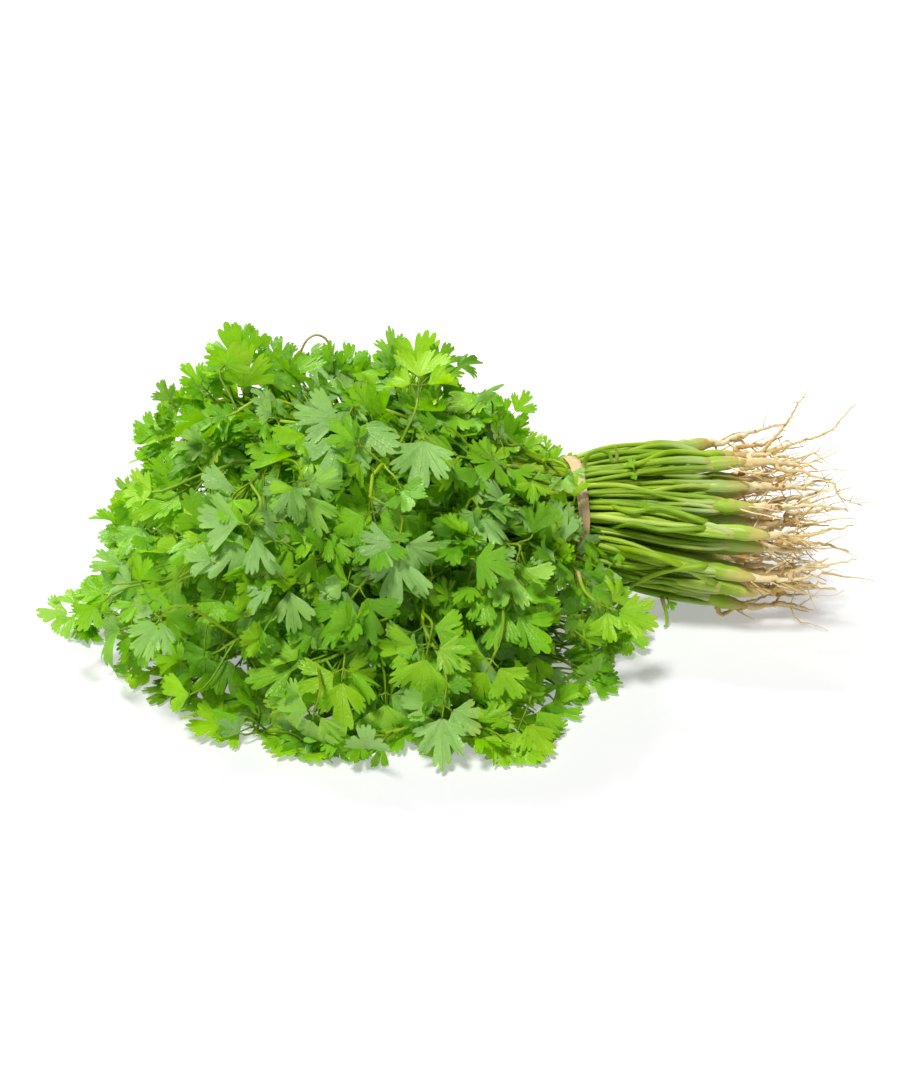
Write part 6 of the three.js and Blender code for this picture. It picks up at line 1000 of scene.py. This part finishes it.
# small leaves that lie on the stalks and on the tie
for px, py, size, ang, tone, pale, gap in ((575, 497, 9.5, 95, .98, 0, 5.0), (568, 503, 8, 160, .9, 0, 4.5), (592, 544, 9, 250, .95, 0, 4.0), (586, 548, 8, 300, .9, .1, 4.0),
                                           (566, 540, 13, 100, .5, .95, 5.5), (560, 540, 10, 150, .5, .9, 4.5), (609, 568, 9, 265, .7, .95, 3.5), (634, 468, 4.5, 120, .8, .3, 2.4),
                                           (638, 474, 3.5, 210, .8, .2, 2.4), (619, 552, 5, 270, .7, .2, 2.6), (641, 507, 4, 40, .6, .1, 2.4), (668, 600, 5, 300, .8, .1, 2.6),
                                           (588, 560, 10, 250, .85, .1, 4.0), (600, 566, 9, 290, .8, .0, 3.5), (606, 580, 10, 280, .8, .0, 3.5), (596, 578, 11, 240, .75, .2, 3.5)):
    q = touch(px, py, cloud, 3.5, gap, None)
    if q is None:
        continue
    d = unit(SIDE * math.cos(math.radians(ang)) + UP * math.sin(math.radians(ang)) - FWD * 0.12)
    piece = own(q)
    leaflet(all_leaf[piece], q, d, -FWD + rng.normal(0, .25, 3), size, rng, "fan3" if size > 6 else "wedge", cup=rng.normal(.3, .4), arch=rng.normal(.3, .3), tone=tone, pale=pale)
    foot = cloud[np.argmin(np.linalg.norm(cloud - q, axis=1))]
    if np.linalg.norm(foot - q) > 1.0:
        thin_stalk(all_stem[piece], foot, q - foot + d, q + d * 0.5, d, 0.6, 0.4, rng, (0.6, 0.5, 0.2, 1), n=5)
# two leaves that droop beside the waist, and a loose stem end under it
for start, way, size in (((578, 572), ((584, 590), (596, 602)), 27), ((572, 586), ((578, 612), (590, 628)), 25), ((600, 585), ((606, 600), (612, 612)), 20)):
    q0 = touch(start[0], start[1], cloud, 5, 0.5, 1000)
    y = float(q0[1])
    k = own(q0)
    q1, q2 = on_plane(way[0][0], way[0][1], y - 8), on_plane(way[1][0], way[1][1], y - 16)
    q1[2], q2[2] = max(q1[2], 6), max(q2[2], 5)
    pts = spline([q0, q1, q2], 12)
    tube(all_stem[k], pts, np.linspace(0.9, 0.6, 12), sides=6, tone=(0.6, rng.random(), 0.1, 0))
    d = unit(SIDE * 0.75 - UP * 0.42 + rng.normal(0, .1, 3))
    compound(all_leaf[k], all_stem[k], q2, d, unit(-FWD + np.array([0, 0, .6])), size, rng, tone=.85, pale=.05, parts=3)
q0 = touch(662, 598, cloud, 5, 0.5, 1000)
pts = spline([q0, on_plane(667, 618, q0[1] - 3), on_plane(664, 634, q0[1] - 5)], 10)
pts[:, 2] = np.maximum(pts[:, 2], 1.2)
tube(all_stem[own(q0)], pts, np.linspace(0.9, 0.5, 10), sides=6, tone=(0.6, 0.4, 0.1, 0))
# leaflets behind the thin places near the top
rng = np.random.default_rng(905)
for n in range(95):
    q = on_plane(rng.uniform(150, 490), rng.uniform(364, 480), rng.uniform(12, 62))
    if not 5 < q[2] < 122 or not inside(q, 8):
        continue
    out = unit(q - head_core(q[0]))
    ax = unit(across(rng.normal(0, 1, 3), out) + out * rng.uniform(0, .5))
    twig(q, ax, unit(-FWD * .5 + out * .5 + rng.normal(0, .35, 3)), rng.uniform(12, 16), float(np.clip(0.5 + rng.normal(0, .2), .05, 1)), 0.05, far=34)
# and behind the thin places low at the front, with a darker tone: painted shade inside the leaf mass
for n in range(90):
    px, py = rng.uniform(170, 560), rng.uniform(630, 722)
    q = on_plane(px, py, rng.uniform(-58, -22))
    if q[2] < 3.0:
        q = EYE + ray(px, py) * (rng.uniform(4, 12) - EYE[2]) / ray(px, py)[2]
    if not inside(q, 10):
        continue
    out = unit(q - head_core(q[0]))
    ax = unit(across(rng.normal(0, 1, 3) + np.array([0, -.2, -.4]), out) + out * rng.uniform(0, .4))
    twig(q, ax, unit(-FWD * .6 + out * .4 + rng.normal(0, .3, 3)), rng.uniform(11, 15.5), float(np.clip(0.42 + rng.normal(0, .2), .03, 1)), 0.05, far=34)
# the leaves that stand out at the front and the top, each on the nearest stalk; their tone and pale values carry
# painted light: the bright tones of the top leaves are painted backlight and a high pale value is painted sheen
skin = np.vstack([v for p in all_leaf for v in p.v])
for px, py, ang, L, parts, tone, pale in ((258, 512, 236, 40, 3, .75, .95), (402, 522, 262, 36, 3, .65, .90), (243, 388, 96, 21, 1, .93, .0),
                                          (418, 398, 86, 31, 3, .97, .0), (352, 408, 246, 36, 3, .60, .75), (424, 440, 262, 22, 1, .55, .75),
                                          (520, 550, 252, 31, 3, .85, .55), (300, 470, 286, 29, 3, .85, .60), (474, 500, 300, 27, 3, .50, .70),
                                          (432, 628, 258, 34, 3, .85, .15), (498, 646, 246, 33, 3, .88, .10), (446, 690, 262, 31, 3, .80, .80),
                                          (385, 680, 272, 28, 3, .75, .60), (318, 700, 252, 31, 3, .80, .45), (530, 700, 250, 33, 5, .95, .0),
                                          (168, 610, 232, 27, 3, .70, .75), (152, 492, 176, 16, 1, .97, .0), (345, 655, 262, 31, 3, .90, .0)):
    t = math.radians(ang)
    q = touch(px, py, skin, 2.5, 3.0, None)
    e = touch(px + math.cos(t) * L * 1.5, py - math.sin(t) * L * 1.5, skin, 2.5, 3.0, None)
    if q is None:
        continue
    d = unit(SIDE * math.cos(t) + UP * math.sin(t)) if e is None else unit(e - q)
    if abs(float(d @ FWD)) > 0.6:
        d = unit(across(d, FWD) + FWD * 0.6 * np.sign(float(d @ FWD)))
    face = unit(across(unit(-FWD + UP * 0.3), d))
    q[2] = max(q[2], 4.0)
    i = int(np.argmin(np.linalg.norm(outer - (q - d * 8), axis=1)))
    k = int(outer_own[i])
    thin_stalk(all_stem[k], outer[i], unit(q - outer[i] + (0, 0, 3.0)), q, d, 0.7, 0.55, rng, (0.35, rng.random(), 0.1, 1), n=8, sides=5)
    if parts == 1:
        leaflet(all_leaf[k], q, d, face, L, rng, "fan5", cup=0.25, arch=0.2, twist=0.1, fold=0.08, tone=tone, pale=pale)
    else:
        compound(all_leaf[k], all_stem[k], q, d, face, L, rng, tone=tone, pale=pale, parts=parts, tame=0.55)
for k, row in enumerate(PLANTS):
    all_leaf[k].make(LEAF, "leaf_green", row[0], bake=True)
    all_stem[k].make(STEM, "stem_green", row[0])
    all_root[k].make(ROOT, "root_tan", row[0])

# ------------------------------------------------------------------ the tie
tie = Piece("tie_wrap")
psi = np.linspace(0, 2 * math.pi, 97)[:-1]
reach = np.full(len(psi), 14.0)
for c, r in waist:
    v = c - TIE_AT[1:]
    d, a = float(np.hypot(*v)), math.atan2(v[1], v[0])
    off = np.abs((psi - a + math.pi) % (2 * math.pi) - math.pi)
    h = d * np.cos(off) + r
    reach = np.maximum(reach, np.where(off < 0.5, h, 0))
ext = np.r_[reach, reach, reach]
ker = np.hanning(9) / np.hanning(9).sum()
reach = np.convolve(ext, ker, "same")[96:192]


def wrap(start, turns, x0, x1, lift0, lift1, width, seed, tail=0.0):
    r = np.random.default_rng(seed)
    n = int(110 * turns)
    a = start + np.linspace(0, 2 * math.pi * turns, n)
    u = np.linspace(0, 1, n)
    rr = np.interp(a % (2 * math.pi), np.r_[psi, 2 * math.pi], np.r_[reach, reach[0]]) + 0.35 + lift0 + (lift1 - lift0) * u
    rr = rr + tail * smooth(u, 0.93, 1.0)
    x = TIE_AT[0] + x0 + (x1 - x0) * u + 0.25 * np.sin(a * 2.3 + seed)
    pts = np.stack([x, TIE_AT[1] + rr * np.cos(a), TIE_AT[2] + rr * np.sin(a)], 1)
    wide = width / 2 * (1 + 0.10 * np.sin(a * 3.1 + seed) + r.normal(0, .02, n))
    wide[0:3] *= (.5, .75, .92)
    wide[-3:] *= (.92, .75, .5)
    tube(tie, pts, wide, 0.30, sides=14, side=(1, 0, 0), tone=(r.random(), r.random(), r.random(), 0))


wrap(2.2, 1.03, -0.9, -0.4, 0.0, 0.45, 3.8, 3)
wrap(3.6, 1.02, 1.1, 0.2, 0.5, 0.95, 3.6, 8, tail=0.8)
tie.make(TIE, "tie_fibre", "tie_strip")

# -------------------------------------------------------------------- stage
bpy.ops.mesh.primitive_plane_add(size=14, location=(0, 0, -0.0004))
floor = bpy.context.object
floor.name = "floor"
fm = Net("floor_white")
matte = fm.add("ShaderNodeBsdfPrincipled", {"Base Color": (0.52, 0.52, 0.52, 1), "Roughness": 1.0, "Specular IOR Level": 0.0,
                                            "Emission Color": (1, 1, 1, 1), "Emission Strength": 0.36})
fm.nt.links.new(matte.outputs[0], fm.out.inputs[0])
floor.data.materials.append(fm.mat)

world = bpy.data.worlds.new("soft_room")
bpy.context.scene.world = world
world.use_nodes = True
world.node_tree.nodes["Background"].inputs[0].default_value = (1.0, 1.0, 1.0, 1)
# pale low down, like a studio wall, and dim overhead
side = world.node_tree.nodes.new("ShaderNodeTexCoord")
height = world.node_tree.nodes.new("ShaderNodeSeparateXYZ")
wall = world.node_tree.nodes.new("ShaderNodeMapRange")
wall.interpolation_type = "SMOOTHSTEP"
for n, v in enumerate((0.17, 0.26, 0.97, 0.05)):
    wall.inputs[n + 1].default_value = v
world.node_tree.links.new(side.outputs["Generated"], height.inputs[0])
world.node_tree.links.new(height.outputs[2], wall.inputs[0])
world.node_tree.links.new(wall.outputs[0], world.node_tree.nodes["Background"].inputs[1])


def sun(name, direction, power, angle, colour=(1, 1, 1)):
    data = bpy.data.lights.new(name, "SUN")
    data.energy, data.angle, data.color = power, math.radians(angle), colour
    ob = bpy.data.objects.new(name, data)
    ob.rotation_euler = Vector(direction).to_track_quat("Z", "Y").to_euler()
    bpy.context.scene.collection.objects.link(ob)


sun("key", (-0.30, -0.42, 1.0), 3.7, 12)
sun("rim", (-0.45, 0.85, 0.85), 3.2, 12, (1.0, 0.99, 0.95))
bpy.context.scene.view_settings.view_transform = "Standard"
bpy.context.scene.view_settings.look = "None"
bpy.context.scene.view_settings.exposure = 0.0
bpy.context.scene.view_settings.gamma = 1.0

total = sum(p.faces() for p in all_leaf + all_stem + all_root + [tie])
print("TRIANGLES", total, "leaves", sum(p.faces() for p in all_leaf), "stems", sum(p.faces() for p in all_stem),
      "roots", sum(p.faces() for p in all_root), "tie", tie.faces(), "leaflets", sum(p.leaflets for p in all_leaf), "stalks at tie", len(waist))
